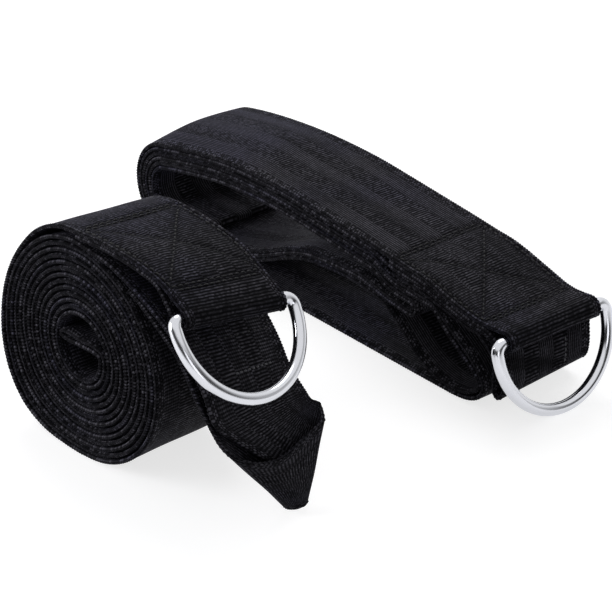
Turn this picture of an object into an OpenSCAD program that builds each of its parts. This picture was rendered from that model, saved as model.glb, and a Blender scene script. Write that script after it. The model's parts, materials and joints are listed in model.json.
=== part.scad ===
// A pair of stretching straps sewn from webbing, each with a D-ring at one end
// and a half-twisted sewn eye at the other. One strap is rolled up, one is folded flat.
// The folded strap runs along X towards its ring, Y goes across the webbing, Z is up.

/* [Webbing] */
// Width of the webbing
web_w = 50; // [48:0.5:52]
// Thickness of one ply
web_t = 1.6; // [1.4:0.1:1.7]

/* [D-rings] */
// Thickness of the ring's wire
wire_d = 5; // [4:0.5:5.5]
// Free width inside the ring on each side of the webbing
ring_side_gap = 1.1; // [1.1:0.1:1.6]
// From the bar's middle to where the bow begins
ring_leg = 4.8; // [4.6:0.1:8]
// Bend radius between the bar and each leg
ring_corner_r = 2.8; // [2.6:0.1:2.9]
// Room between the bar and the webbing round it
bar_gap = 0.3; // [0.25:0.05:0.5]

/* [Rolled strap] */
// Radius of the roll at its near face
roll_r = 47.6; // [46:0.2:49]
// Radius that is left open at the middle of the roll
core_r = 14; // [13:0.5:16]
// Slack between two plies of the roll
roll_slack = 0.85; // [0.75:0.05:0.95]
// How much smaller the roll is at its far face, as a share
roll_taper = 0.05; // [0:0.01:0.06]
// How far the hem lifts the roll's outer ply
hem_lift = 1.8; // [1.7:0.1:2.2]
// How far the ring's bar lies below the roll's top
roll_bar_drop = 15.6; // [14:0.2:17]
// Fall of the ring's bar towards its far end, in degrees
roll_bar_fall = 10.7; // [9:0.1:12]
// How far the hanging ring stands out from straight down, in degrees
roll_ring_out = 36.5; // [36:0.5:60]
// How far the outer plies sag out at the roll's lower left
roll_sag = 7.6; // [0:0.1:7.8]
// How far the roll's upper left is pressed in
roll_shoulder = 1.3; // [0:0.1:1.4]

/* [Folded strap] */
// Length of the bundle without its ring
fold_len = 229; // [225:1:240]
// Radius of the outer ply's bend at the left end
fold_r = 20.4; // [20:0.1:21]
// Height of the bundle's crest
crest_z = 51.2; // [51:0.2:54]
// Slack between two plies of the bundle
fold_slack = 0.45; // [0.4:0.05:0.5]
// Lean of the ring that props the bar up from the table, in degrees from upright
fold_ring_tilt = 16; // [14:0.5:17]
// How far the ring has slid along its bar, towards the front
fold_ring_slide = 0.6; // [0:0.1:0.6]
// How much higher the far side stands at the left end, as a share of its height
fold_far_lift = 0.06; // [0:0.002:0.076]

/* [Seams] */
// Width of a sewn row
row_w = 1; // [0.6:0.1:1.4]
// How far the thread stands proud of the webbing
row_proud = 0.3; // [0.1:0.05:0.4]
// From the selvage to the middle of the nearest row
seam_inset = 3; // [2:0.5:5]
// From the ring's bar to the first row across
seam_from_bar = 14; // [12:0.5:16]
// Length of the sewn box at a ring
box_l = 49; // [44:1:50]
// Length of the sewn box at an eye
eye_box_l = 44; // [38:1:46]

/* [Placement] */
// The folded strap's ring fold, from the middle of the pair
fold_x = 109; // [95:0.1:118]
// The folded strap's near selvage, from the middle of the pair
fold_y = 42.8; // [38:0.1:55]
// From the folded strap's ring fold back to the roll's middle
roll_dx = 82.7; // [75:0.1:90]
// From the folded strap's near selvage forward to the roll's near face
roll_dy = 137.2; // [130:0.1:150]
// Turn of the roll about the vertical, in degrees
roll_turn = 2.5; // [0:0.5:8]

/* [Hidden] */
WEB = [0.16, 0.16, 0.18];
THREAD = [0.08, 0.08, 0.09];
STEEL = [0.86, 0.87, 0.9];
$fn = 64;

ring_half = web_w / 2 + ring_side_gap + wire_d / 2;
ring_depth = ring_leg + ring_half;
// Height of the folded strap's ring bar above the table
fold_bar_z = ring_depth * cos(fold_ring_tilt) + wire_d / 2;
roll_pitch = web_t + roll_slack;
fold_pitch = web_t + fold_slack;
hem_pitch = web_t + 0.15;
hem_drop = web_t + 0.15;
loop_r = wire_d / 2 + bar_gap + web_t / 2;
row_top = web_t / 2 + row_proud;
row_sunk = web_t / 2 - 0.1;
// A sewn row goes through its own ply and the hem under it
row_depth = web_t / 2 + hem_pitch - 0.2;
// How far the cross stays inside its box, and half its gap where it crosses, as shares of it
cross_margin = 0.06;
cross_gap = 0.04;

// ---- rows of the webbing: [near x, y, z, far x, y, z] is where its two selvages lie

function unit(v) = v / norm(v);
function mix(a, b, t) = a + (b - a) * t;
function ease(a, b, x) = let (t = max(0, min(1, (x - a) / (b - a)))) t * t * (3 - 2 * t);
function near(row) = [row[0], row[1], row[2]];
function far(row) = [row[3], row[4], row[5]];
function middle(row) = (near(row) + far(row)) / 2;
function last(rows) = rows[len(rows) - 1];
function part_of(rows, from, to) = [for (i = [from:to]) rows[i]];
function back(rows) = [for (i = [len(rows) - 1:-1:0]) rows[i]];
// The y values of hand-placed rows are shares of the webbing's width
function placed(rows) = [for (r = rows) [r[0], r[1] * web_w, r[2], r[3], r[4] * web_w, r[5]]];
// Rows whose x and z follow the rolled strap's bar and the roll's height
function hung(rows) = let (kx = roll_bar[0] / eye_placed_bar, kz = roll_top / eye_placed_top)
    [for (r = placed(rows)) [kx * r[0], r[1], kz * r[2], kx * r[3], r[4], kz * r[5]]];
// [x, z] points as rows that run straight across the webbing
function straight(points) = [for (p = points) [p[0], 0, p[1], p[0], web_w, p[1]]];
function arc(centre, r, from, step, to) =
    [for (a = [from:step:to]) centre + r * [cos(a), sin(a)]];

function spline(a, b, c, d, t) = 0.5 * (2 * b + (c - a) * t
    + (2 * a - 5 * b + 4 * c - d) * t * t + (3 * b - a - 3 * c + d) * t * t * t);
// A smooth run through hand-placed rows, with m steps between each two
function smooth(rows, m) = let (n = len(rows),
        q = concat([2 * rows[0] - rows[1]], rows, [2 * rows[n - 1] - rows[n - 2]]))
    concat([for (i = [0:n - 2], k = [0:m - 1]) spline(q[i], q[i + 1], q[i + 2], q[i + 3], k / m)],
        [rows[n - 1]]);
// The same run without its first and its last row
function between(rows, m) = let (s = smooth(rows, m)) part_of(s, 1, len(s) - 2);

function run_dir(rows, i) =
    unit(middle(rows[min(i + 1, len(rows) - 1)]) - middle(rows[max(i - 1, 0)]));
function face_dir(rows, i) = unit(cross(run_dir(rows, i), far(rows[i]) - near(rows[i])));
function shifted(rows, d) = [for (i = [0:len(rows) - 1]) let (n = face_dir(rows, i) * d)
    concat(near(rows[i]) + n, far(rows[i]) + n)];

// ---- the rolled strap, from the hem's end round the ring, into the roll and out to the eye

roll_out = roll_r - web_t / 2;
roll_z = roll_out - roll_pitch + web_t / 2 + 0.05;
roll_top = roll_z + roll_out;
turns = round((roll_out - core_r) / (2 * roll_pitch) + 0.25);
roll_in = roll_out - 2 * roll_pitch * (turns - 0.25);
roll_bar = [roll_r + 10.2, roll_top - roll_bar_drop];
// The rolled eye's rows are placed by hand for a roll and a bar of this height and reach
eye_placed_top = 92;
eye_placed_bar = 57.8;
bar_half_fall = web_w / 2 * sin(roll_bar_fall);
spiral_step = 15;
// The strap's middle is folded flat inside the roll: one bend at the right, one at the left
core_bend_r = 4.4;
core_z = roll_z + core_bend_r;
core_fold_x = roll_in - 1.5 * web_t - roll_pitch / 2;
k_far = 1 - roll_taper;

// [x, z] points of the roll as rows: the far face is a little smaller and rests on the table too
function coned(points) = [for (p = points) [p[0], 0, p[1], k_far * p[0], web_w, k_far * p[1]]];
// The sag grows from 165 to 222 degrees and is gone at 268; the shoulder lies between 105 and 178.
// Both fade towards the core.
function slump(a, r) = let (b = a % 360, w = pow(max(0, (r - core_r) / (roll_out - core_r)), 3))
    w * (roll_sag * ease(165, 222, b) * (1 - ease(222, 268, b))
        - roll_shoulder * ease(105, 140, b) * (1 - ease(140, 178, b)));
function spiral(inset, lift) = [for (a = [90:spiral_step:360 * turns])
    let (r = roll_out - inset - roll_pitch * (a - 90) / 180)
    [0, roll_z] + (r + slump(a, r) + lift * (1 - ease(95, 150, a))) * [cos(a), sin(a)]];

out_ply = spiral(0, hem_lift);
in_ply = spiral(roll_pitch, 0);
core = concat(
    arc([roll_in - core_bend_r, roll_z], core_bend_r, 18, 18, 90),
    [[0, core_z]],
    arc([-core_fold_x, core_z - roll_pitch / 2], roll_pitch / 2, 90, 30, 270),
    [[0, core_z - roll_pitch]],
    arc([roll_in - core_bend_r, roll_z], core_bend_r - roll_pitch, 90, -18, 18));
roll_loop = [for (p = arc(roll_bar, loop_r, -130, 19, 60))
    [p[0], 0, p[1] + bar_half_fall, p[0], web_w, p[1] - bar_half_fall]];
out_tail = between(concat([last(roll_loop)], placed([
    [47.5, 0, roll_top - 1.2, 45.5, 1, roll_top - 10.6],
    [33, 0, roll_top + 1.8, 31, 1, roll_top - 6],
    [16, 0, roll_top + 2.6, 14, 1, roll_top - 3.4]]),
    [coned(out_ply)[0]]), 4);
roll_hem = let (s = shifted(concat(out_tail, part_of(coned(out_ply), 0, 1)), hem_drop))
    back(part_of(s, 4, len(s) - 2));
eye_tail = hung([
    [18, 0, 87.4, 17, 1, 82],
    [36, 0, 81, 33.5, 1, 73.8],
    [51.5, 0, 72.5, 47, 1, 62],
    [62, -0.01, 64.5, 54.5, 1, 53.5],
    [70.6, -0.02, 57, 59.3, 1, 46],
    [74.8, 0, 46, 64, 1.02, 39.5],
    [75.8, 0.1, 39.5, 66, 1.08, 34],
    [76.8, 0.29, 30.5, 67.1, 1.14, 31],
    [78, 0.5, 20, 67.9, 1.184, 29.6],
    [78.7, 0.65, 10.5, 68.3, 1.212, 28.9],
    [80.6, 0.74, 5.3, 70.4, 1.23, 27.9],
    [83.4, 0.732, 2.9, 74.4, 1.131, 27.4],
    [84.3, 0.695, 2, 76.9, 0.903, 26.4],
    [84, 0.66, 1.8, 80, 0.66, 25],
    [83.6, 0.632, 1.7, 82, 0.47, 25.2],
    [82.6, 0.608, 1.7, 82.4, 0.27, 28],
    [80.6, 0.592, 2, 80.4, 0.112, 32],
    [78.4, 0.612, 3.2, 76.4, 0.048, 36.4],
    [76.4, 0.68, 6.4, 73, 0.028, 40.6],
    [73.6, 0.79, 13.2, 70.4, 0.016, 44.4],
    [70.6, 0.89, 20.5, 68.6, 0.006, 47.2],
    [66, 1.02, 31, 66, 0, 50.8],
    [59.3, 1.03, 41.6, 61.5, 0, 57.5],
    [53, 1, 49.8, 56, 0, 64.6],
    [45.4, 1, 59.2, 49.5, 0, 69.4],
    [33, 1, 71.5, 35.5, 0, 78.4],
    [27, 1, 75.4, 29, 0, 81.2]]);
in_tail = let (s = smooth(concat([coned(in_ply)[0]], eye_tail), 3)) part_of(s, 1, len(s) - 1);
rolled_rows = concat(roll_hem, roll_loop, out_tail, coned(out_ply), coned(core),
    coned(back(in_ply)), in_tail);
roll_tail_at = len(roll_hem) + len(roll_loop);
roll_eye_at = len(rolled_rows) - len(in_tail);

// ---- the folded strap: six plies in the top stack, three in the lower one, one on the table

left_x = -fold_len + fold_r;
left_z = fold_r + web_t / 2;
left_top = left_z + fold_r + web_t / 2;
ring_end_z = fold_bar_z + loop_r + web_t / 2;
floor_z = web_t / 2;
next_floor_z = floor_z + fold_pitch;

top_knots = smooth([
    [left_x - 3.4, left_top - 0.7], [left_x + 8.6, left_top + 2.2], [left_x + 23.6, left_top + 5.2],
    [left_x + 41.6, crest_z - 0.9], [left_x + 60.6, crest_z], [-126, crest_z - 0.3],
    [-105, crest_z - 1.9], [-88, crest_z - 3.3], [-70, crest_z - 4.8], [-58, crest_z - 6],
    [-45, ring_end_z + 5], [-33, ring_end_z + 2], [-22, ring_end_z - 0.2],
    [-12, ring_end_z - 0.9], [0, ring_end_z + 0.1]], 8);
low_knots = smooth([
    [left_x - 3.4, web_t + 0.5], [-190, web_t + 0.5], [-178, web_t + 1.4], [-166, 5.8], [-155, 8.8],
    [-145, 12], [-136, 16.2], [-127, 20.2], [-116, 23.6], [-101, 25.4], [-83, 26], [-70, 25],
    [-58, 24], [-44, 22.6], [-34, 21]], 8);
function ply_pitch(x) = mix(fold_pitch, hem_pitch, ease(-46, -30, x));
// Ply n of the top stack, counted down, and how many hems lie above it near the ring
function top_ply(xs, n, hems) = [for (x = xs)
    [x, lookup(x, top_knots) - web_t / 2 - ply_pitch(x) * (n + hems * ease(-76, -66, x))]];
// Ply n of the lower stack, counted up from its underside
function low_ply(xs, n) = [for (x = xs)
    [x, lookup(x, low_knots) + fold_pitch * (n + 0.45 - ease(-84, -66, x))]];
function left_bend(n) = arc([left_x, left_z], fold_r - fold_pitch * n, 97, 12, 263);
// Half a turn that joins the end of one ply to the start of the one above it
function right_bend(low, high) =
    arc([low[0], (low[1] + high[1]) / 2], (high[1] - low[1]) / 2, -72, 18, 72);

left_in = left_x + 10.6;
hem_xs = [-5, -10, -16, -24, -32, -40, -48, -56, -64, -69, -74, -84, -96, -110, -125, -140,
    -155, -170, -185, left_in];
eye_xs = concat([-12], part_of(hem_xs, 2, len(hem_xs) - 1));
stack_xs = part_of(hem_xs, 5, len(hem_xs) - 1);
inner_stack_xs = part_of(stack_xs, 2, len(stack_xs) - 1);
rise_xs = [left_in + 2, -186, -176, -166, -156, -148, -140, -132, -124, -116, -106, -94, -84];
low_xs = concat(rise_xs, [-74, -66, -60, -54]);
inner_xs = [left_in - 2, left_in + 5, left_in + 11];
floor_ply = [for (x = [left_in - 2, -160, -120, -80, -50, -36]) [x, floor_z]];
floor_turn = between(concat([last(floor_ply)], [[-27, floor_z + 0.12], [-19.5, 2.1], [-13.8, 5.2],
    [-11.6, 10.2], [-14.2, 15.6], [-20.5, 21.2], [-29, 27]], [top_ply(stack_xs, 2, 2)[0]]), 5);
slope = concat([for (x = part_of(rise_xs, 0, 11)) [x, lookup(x, low_knots) + fold_pitch * 0.45]],
    [[-76, 25.2], [-69, 23.6]]);
next_turn = between(concat([[-64, 20.5], [-57, 15.2], [-49.5, 9], [-40, 4.6], [-30, next_floor_z],
    [-21.5, 4.1], [-15.8, 6.9], [-13.5, 10.3], [-16.2, 14.2], [-22.8, 18.9], [-31.2, 24.8]],
    [top_ply(stack_xs, 3, 2)[0]]), 5);
mid_low = [for (x = inner_xs) [x, left_z - fold_r + fold_pitch * 4]];
mid_high = [for (x = inner_xs) [x, left_z - fold_r + fold_pitch * 5]];
low_two = low_ply(low_xs, 1);
low_three = low_ply(low_xs, 2);
top_five = top_ply(inner_stack_xs, 4, 2);
top_six = top_ply(inner_stack_xs, 5, 2);
ring_half_strap = concat(top_ply(hem_xs, 0, 0), left_bend(0), floor_ply, floor_turn,
    top_ply(stack_xs, 2, 2), left_bend(2), low_two, right_bend(last(low_two), top_five[0]),
    top_five, left_bend(4), mid_low);
eye_half_strap = concat(top_ply(eye_xs, 1, 1), left_bend(1), slope, next_turn,
    top_ply(stack_xs, 3, 2), left_bend(3), low_three, right_bend(last(low_three), top_six[0]),
    top_six, left_bend(5), mid_high);
fold_path = concat(ring_half_strap, right_bend(last(mid_low), last(mid_high)),
    back(eye_half_strap));
fold_loop = arc([0, fold_bar_z], loop_r, -115, 18.6, 71);
fold_hem = concat(top_ply([-66, -56, -48, -40, -32, -24, -16, -11], 1, 0),
    [[-6, fold_bar_z - 1.2]]);
fold_eye_top = top_ply([-12], 1, 1)[0][1];
fold_eye_low = top_ply([-14], 2, 1)[0][1];
fold_eye = between(placed([
    [-12, 0, fold_eye_top, -12, 1, fold_eye_top],
    [-7, 0, fold_bar_z - 2.9, -7, 1, fold_bar_z - 2.9],
    [-2.6, 0, fold_bar_z - 5.7, -2.5, 0.95, fold_bar_z - 5.7],
    [0.4, -0.01, 24.7, 1.5, 0.88, 25.2],
    [1.2, -0.01, 18.5, 3.7, 0.835, 21.3],
    [0.2, -0.02, 12.5, 3.4, 0.82, 18],
    [-2.6, -0.02, 9.8, 1.2, 0.82, 15.8],
    [-5.2, -0.01, 11.6, -1.8, 0.83, 17.2],
    [-5.8, 0, 17, -3.8, 0.87, 20.8],
    [-6.2, 0, 23, -5.2, 0.94, 24.4],
    [-8.6, 0, 28, -8.4, 1, 28],
    [-14, 0, fold_eye_low, -14, 1, fold_eye_low]]), 4);
fold_eye_hem = top_ply([-14, -20, -26, -33, -40, -48, -56, -64], 2, 1);
// The far side stands a little higher at the left end than the near one
folded_rows = [for (r = concat(straight(fold_hem), straight(fold_loop), straight(fold_path),
        fold_eye, straight(fold_eye_hem)))
    [r[0], r[1], r[2], r[3], r[4], r[5] * (1 + fold_far_lift * (1 - ease(-215, -160, r[3])))]];
fold_top_at = len(fold_hem) + len(fold_loop);
fold_eye_at = fold_top_at + len(fold_path) - len(eye_xs);

// ---- solids

// Skin over sections of four corners each, closed at both ends
module skin(sections) {
    n = len(sections);
    walls = [for (i = [0:n - 2], k = [0:3]) let (a = 4 * i + k, b = 4 * i + (k + 1) % 4)
        each [[a, b, b + 4], [a, b + 4, a + 4]]];
    first = [[3, 2, 1], [3, 1, 0]];
    end = 4 * (n - 1);
    closing = [[end, end + 1, end + 2], [end, end + 2, end + 3]];
    polyhedron([for (s = sections) each s], concat(first, walls, closing));
}

module ribbon(rows) {
    skin([for (i = [0:len(rows) - 1]) let (h = face_dir(rows, i) * web_t / 2, r = rows[i])
        [near(r) + h, far(r) + h, far(r) - h, near(r) - h]]);
}

// One sewn row along [u, v] places: u counts the webbing's rows, v goes from near to far selvage.
// side is 1 where face_dir looks out of the strap and -1 where it looks in.
module sewn_row(rows, places, side, top, depth) {
    spots = [for (p = places) let (i = min(floor(p[0]), len(rows) - 2), t = p[0] - i,
            r = mix(rows[i], rows[i + 1], t))
        [mix(near(r), far(r), p[1]), side * unit(mix(face_dir(rows, i), face_dir(rows, i + 1), t))]];
    n = len(spots);
    skin([for (j = [0:n - 1]) let (
            go = unit(spots[min(j + 1, n - 1)][0] - spots[max(j - 1, 0)][0]),
            up = spots[j][1],
            w = unit(cross(up, go)) * row_w / 2,
            c = spots[j][0])
        [c - w + up * top, c + w + up * top, c + w - up * depth, c - w - up * depth]]);
}

// Where a value x lies along the rows from index a to b, by their near selvage
function u_at(rows, a, b, x) = lookup(x, [for (i = [a:b]) [rows[i][0], i]]);
function steps(a, b, n) = [for (i = [0:n]) mix(a, b, i / n)];

// Rows along the strap on both sides of a sewn box, and one across at each of its ends
module sewn_box(rows, u0, u1, side, top, depth) {
    n = ceil(abs(u1 - u0));
    for (v = [seam_inset / web_w, 1 - seam_inset / web_w])
        sewn_row(rows, [for (u = steps(u0, u1, n)) [u, v]], side, top, depth);
    v_in = (seam_inset + row_w / 2 + 0.1) / web_w;
    for (u = [u0, u1])
        sewn_row(rows, [[u, v_in], [u, 1 - v_in]], side, top, depth);
}

// The cross in a sewn box: one whole diagonal, and one that stops short on both sides of it
module sewn_cross(rows, u0, u1, side, top, depth) {
    n = ceil(abs(u1 - u0));
    v_in = (seam_inset + 2 * row_w) / web_w;
    v_out = 1 - v_in;
    function along(t) = mix(u0, u1, mix(cross_margin, 1 - cross_margin, t));
    sewn_row(rows, [for (t = steps(0, 1, n)) [along(t), mix(v_in, v_out, t)]], side, top, depth);
    for (span = [[0, 0.5 - cross_gap], [0.5 + cross_gap, 1]])
        sewn_row(rows, [for (t = steps(span[0], span[1], ceil(n / 2)))
            [along(t), mix(v_out, v_in, t)]], side, top, depth);
}

// Short reinforcing rows across the webbing, just outside both ends of the sewn box
module sewn_ends(rows, places, side, top, depth) {
    v_in = (seam_inset + 2 * row_w) / web_w;
    for (u = places)
        sewn_row(rows, [[u, v_in], [u, 1 - v_in]], side, top, depth);
}

// A D-ring with its bar along Y through the origin and its bow towards Z
module d_ring() {
    straight_half = ring_half - ring_corner_r;
    rotate([90, 0, 0]) cylinder(h = 2 * straight_half, d = wire_d, center = true);
    for (s = [0, 1]) mirror([0, s, 0]) {
        translate([0, straight_half, ring_corner_r]) rotate([90, 0, 90]) rotate([0, 0, -90])
            rotate_extrude(angle = 90) translate([ring_corner_r, 0]) circle(d = wire_d);
        translate([0, ring_half, ring_corner_r])
            cylinder(h = ring_leg - ring_corner_r, d = wire_d);
    }
    translate([0, 0, ring_leg]) rotate([90, 0, 90])
        rotate_extrude(angle = 180) translate([ring_half, 0]) circle(d = wire_d);
}

module in_roll() {
    translate([fold_x - roll_dx, fold_y - roll_dy, 0]) rotate([0, 0, roll_turn]) children();
}
module in_fold() {
    translate([fold_x, fold_y, 0]) children();
}

// Ends of the sewn boxes, as places along the rows
roll_seam_from_bar = seam_from_bar - 6;
// Where the rolled eye's sewn box begins and ends, from the roll's middle
roll_eye_from = 20;
roll_eye_to = 57;
// The rolled strap's top curves down at both ends, so its box reaches less far along X
roll_box_share = 0.975;
// From the sewn box to the reinforcing rows outside it
end_shift = row_w + 1;
function roll_u(x) = u_at(rolled_rows, roll_tail_at, roll_tail_at + len(out_tail) + 1, x);
roll_box_0 = roll_u(roll_bar[0] - roll_seam_from_bar);
roll_box_1 = roll_u(roll_bar[0] - roll_seam_from_bar - box_l * roll_box_share);
roll_ends = [roll_u(roll_bar[0] - roll_seam_from_bar + end_shift),
    roll_u(roll_bar[0] - roll_seam_from_bar - box_l * roll_box_share - end_shift)];
// The first rows of the rolled eye's tail, which run away from the roll
eye_leg_rows = 11;
function roll_eye_u(x) = u_at(rolled_rows, roll_eye_at, roll_eye_at + eye_leg_rows, x);
function fold_u(x) = u_at(folded_rows, fold_top_at, fold_top_at + len(hem_xs) - 1, x);
function fold_eye_u(x) = u_at(folded_rows, fold_eye_at, fold_eye_at + len(eye_xs) - 1, x);
fold_box_0 = fold_u(-seam_from_bar);
fold_box_1 = fold_u(-seam_from_bar - box_l);
fold_ends = [fold_u(-seam_from_bar + end_shift), fold_u(-seam_from_bar - box_l - end_shift)];

module rolled_webbing() {
    color(WEB) in_roll() ribbon(rolled_rows);
}
module rolled_d_ring() {
    color(STEEL) in_roll() translate([roll_bar[0], web_w / 2, roll_bar[1]])
        rotate([-roll_bar_fall, 0, 0]) rotate([0, 180 - roll_ring_out, 0]) d_ring();
}
module rolled_box_seam() {
    color(THREAD) in_roll()
        sewn_box(rolled_rows, roll_box_0, roll_box_1, -1, row_top, row_depth);
}
module rolled_cross_seam() {
    color(THREAD) in_roll()
        sewn_cross(rolled_rows, roll_box_0, roll_box_1, -1, row_top, row_depth);
}
module rolled_end_seams() {
    color(THREAD) in_roll()
        sewn_ends(rolled_rows, roll_ends, -1, row_top, row_depth);
}
module rolled_eye_seam() {
    color(THREAD) in_roll()
        sewn_box(rolled_rows, roll_eye_u(roll_eye_from), roll_eye_u(roll_eye_to), 1, row_top, row_sunk);
}
module folded_webbing() {
    color(WEB) in_fold() ribbon(folded_rows);
}
module folded_d_ring() {
    color(STEEL) in_fold() translate([0, web_w / 2 - fold_ring_slide, fold_bar_z])
        rotate([0, 180 - fold_ring_tilt, 0]) d_ring();
}
module folded_box_seam() {
    color(THREAD) in_fold()
        sewn_box(folded_rows, fold_box_0, fold_box_1, -1, row_top, row_depth);
}
module folded_cross_seam() {
    color(THREAD) in_fold()
        sewn_cross(folded_rows, fold_box_0, fold_box_1, -1, row_top, row_depth);
}
module folded_end_seams() {
    color(THREAD) in_fold()
        sewn_ends(folded_rows, fold_ends, -1, row_top, row_depth);
}
module folded_eye_seam() {
    color(THREAD) in_fold() sewn_box(folded_rows, fold_eye_u(-seam_from_bar),
        fold_eye_u(-seam_from_bar - eye_box_l), 1, row_sunk, row_depth);
}

rolled_webbing();
rolled_d_ring();
rolled_box_seam();
rolled_cross_seam();
rolled_end_seams();
rolled_eye_seam();
folded_webbing();
folded_d_ring();
folded_box_seam();
folded_cross_seam();
folded_end_seams();
folded_eye_seam();
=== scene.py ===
"""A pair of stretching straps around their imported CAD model: one rolled up, one folded flat.

Each strap is one woven ribbon that ends in a hem round a steel D-ring and in a sewn eye.
Lengths are in millimetres in the shape functions, and become metres when a mesh is made.
"""
import json
import math
from functools import partial

import bpy
import numpy as np
from mathutils import Matrix, Vector
from mathutils.bvhtree import BVHTree
from mathutils.interpolate import poly_3d_calc

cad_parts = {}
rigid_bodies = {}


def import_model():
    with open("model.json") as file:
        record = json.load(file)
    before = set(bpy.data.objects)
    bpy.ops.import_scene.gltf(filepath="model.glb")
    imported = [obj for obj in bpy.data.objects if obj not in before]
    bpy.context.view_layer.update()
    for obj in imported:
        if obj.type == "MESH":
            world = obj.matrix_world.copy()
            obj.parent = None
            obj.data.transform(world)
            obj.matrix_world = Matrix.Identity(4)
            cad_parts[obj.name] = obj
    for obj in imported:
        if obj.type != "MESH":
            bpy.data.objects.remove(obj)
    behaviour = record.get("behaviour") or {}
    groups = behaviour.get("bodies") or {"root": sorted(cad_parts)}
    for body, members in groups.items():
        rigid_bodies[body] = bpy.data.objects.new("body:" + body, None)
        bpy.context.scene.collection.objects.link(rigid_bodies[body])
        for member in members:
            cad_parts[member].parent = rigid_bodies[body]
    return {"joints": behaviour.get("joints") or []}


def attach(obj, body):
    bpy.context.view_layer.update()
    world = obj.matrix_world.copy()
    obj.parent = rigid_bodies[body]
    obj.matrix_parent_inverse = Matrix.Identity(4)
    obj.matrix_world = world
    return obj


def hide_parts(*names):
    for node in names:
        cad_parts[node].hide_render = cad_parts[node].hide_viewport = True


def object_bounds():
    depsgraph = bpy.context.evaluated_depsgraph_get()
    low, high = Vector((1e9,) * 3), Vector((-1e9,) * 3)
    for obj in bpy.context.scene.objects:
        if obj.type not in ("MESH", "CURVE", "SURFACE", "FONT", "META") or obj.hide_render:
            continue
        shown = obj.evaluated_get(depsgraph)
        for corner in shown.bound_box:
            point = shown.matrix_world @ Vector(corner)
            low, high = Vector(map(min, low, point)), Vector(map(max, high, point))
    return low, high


bl_info = {
    "name": "Stretching straps",
    "version": (1, 0, 0),
    "blender": (4, 5, 0),
    "location": "View3D > Sidebar > Straps",
    "description": "Builds a rolled and a folded webbing strap with D-rings",
    "category": "Add Mesh",
}

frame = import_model()
CAD_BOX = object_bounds()
JOINTS = {joint["name"]: joint for joint in frame["joints"]}
M = 0.001

# ---- the photograph's named points

IMAGE_W, IMAGE_H = 612, 612
POINTS = {
    "left_edge": (1, None),
    "right_edge": (611, None),
    "top_edge": (None, 107),
    "bottom_edge": (None, 507),
    "roll_ring_bow": (259, 400),
    "roll_ring_near_corner": (176, 329),
    "roll_ring_far_corner": (294, 305),
    "fold_ring_bow": (564, 406),
    "fold_ring_near_corner": (497, 354),
    "roll_axis": (80, 350),
    "fold_left_end": (137, 176),
    "eye_tip": (294, 507),
    "leg_stitches_left": (235, 374),
    "leg_stitches_right": (272, 362),
    "eye_stitches_top": (565, 335),
    "eye_stitches_bottom": (564, 362),
}

# ---- camera, in the frame of the folded strap's ring end

CAMERA_AZIMUTH = math.radians(49.93)
CAMERA_ELEVATION = math.radians(27.94)
CAMERA_PLACE = (726.737, -709.095, 587.626)
CAMERA_LENS = 180
SENSOR_WIDTH = 36

# ---- sizes of the CAD model, in millimetres

WEB_W = 50.0
WEB_T = 1.6
WIRE_D = 5.0
RING_SIDE_GAP = 1.1
RING_LEG = 4.8
RING_CORNER_R = 3.4
BAR_GAP = 0.3
RING_HALF = WEB_W / 2 + RING_SIDE_GAP + WIRE_D / 2
HEM_PITCH = WEB_T + 0.15
LOOP_R = WIRE_D / 2 + BAR_GAP + WEB_T / 2
FOLD_RING_SLIDE = 0.6
FOLD_RING_TILT = 16
ROLL_TURN = 2.5
ROLL_BAR_FALL = 10.7
ROLL_RING_OUT = 36.5

fold_pin = np.array(JOINTS["folded_ring_swing"]["pos_m"]) / M
roll_pin = np.array(JOINTS["rolled_ring_swing"]["pos_m"]) / M
FOLD_BAR_Z = fold_pin[2]
FOLD_ORIGIN = np.array([fold_pin[0], fold_pin[1] - WEB_W / 2 + FOLD_RING_SLIDE, 0])


def turned(points, degrees):
    """Points turned about the vertical."""
    c, s = math.cos(math.radians(degrees)), math.sin(math.radians(degrees))
    return np.asarray(points) @ np.array([[c, s, 0], [-s, c, 0], [0, 0, 1]])


ROLL_BAR_X = 57.8
ROLL_BAR = np.array([ROLL_BAR_X, WEB_W / 2, roll_pin[2]])
ROLL_ORIGIN = roll_pin - turned(ROLL_BAR, ROLL_TURN)


# ---- rows of the webbing: each row holds the places of its two selvages

def mix(a, b, t):
    return a + (b - a) * t


def ease(a, b, x):
    """0 before a and 1 after b, along a smooth S between them."""
    t = np.clip((x - a) / (b - a), 0, 1)
    return t * t * (3 - 2 * t)


def hump(rise, fall, x):
    """0, then up to 1 over the span rise, and down to 0 again over the span fall."""
    return ease(*rise, x) * (1 - ease(*fall, x))


def waves(table, s, v=0):
    """A sum of sines, each given by its height, its rates along and across, and its start."""
    return sum(high * np.sin(s * along + v * across + start)
               for high, along, across, start in table)


def smooth(rows, steps):
    """A run through given rows, each stretch a uniform Catmull-Rom cubic cut in steps."""
    rows = np.asarray(rows, float)
    q = np.vstack([2 * rows[0] - rows[1], rows, 2 * rows[-1] - rows[-2]])
    t = (np.arange(steps) / steps)[None, :, None]
    a, b, c, d = (q[k:len(q) - 3 + k, None, :] for k in range(4))
    cubic = 0.5 * (2 * b + (c - a) * t + (2 * a - 5 * b + 4 * c - d) * t**2
                   + (3 * b - a - 3 * c + d) * t**3)
    return np.vstack([cubic.reshape(-1, rows.shape[1]), rows[-1:]])


def between(rows, steps):
    return smooth(rows, steps)[1:-1]


def straight(points, far_share=1.0):
    """[x, z] points as rows straight across the webbing, whose far ends may be scaled."""
    x, z = np.asarray(points, float).T
    return np.column_stack([x, 0 * x, z, far_share * x, 0 * x + WEB_W, far_share * z])


def placed(rows):
    """Given rows, whose y values are shares of the webbing's width."""
    r = np.array(rows, float)
    r[:, [1, 4]] *= WEB_W
    return r


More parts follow.
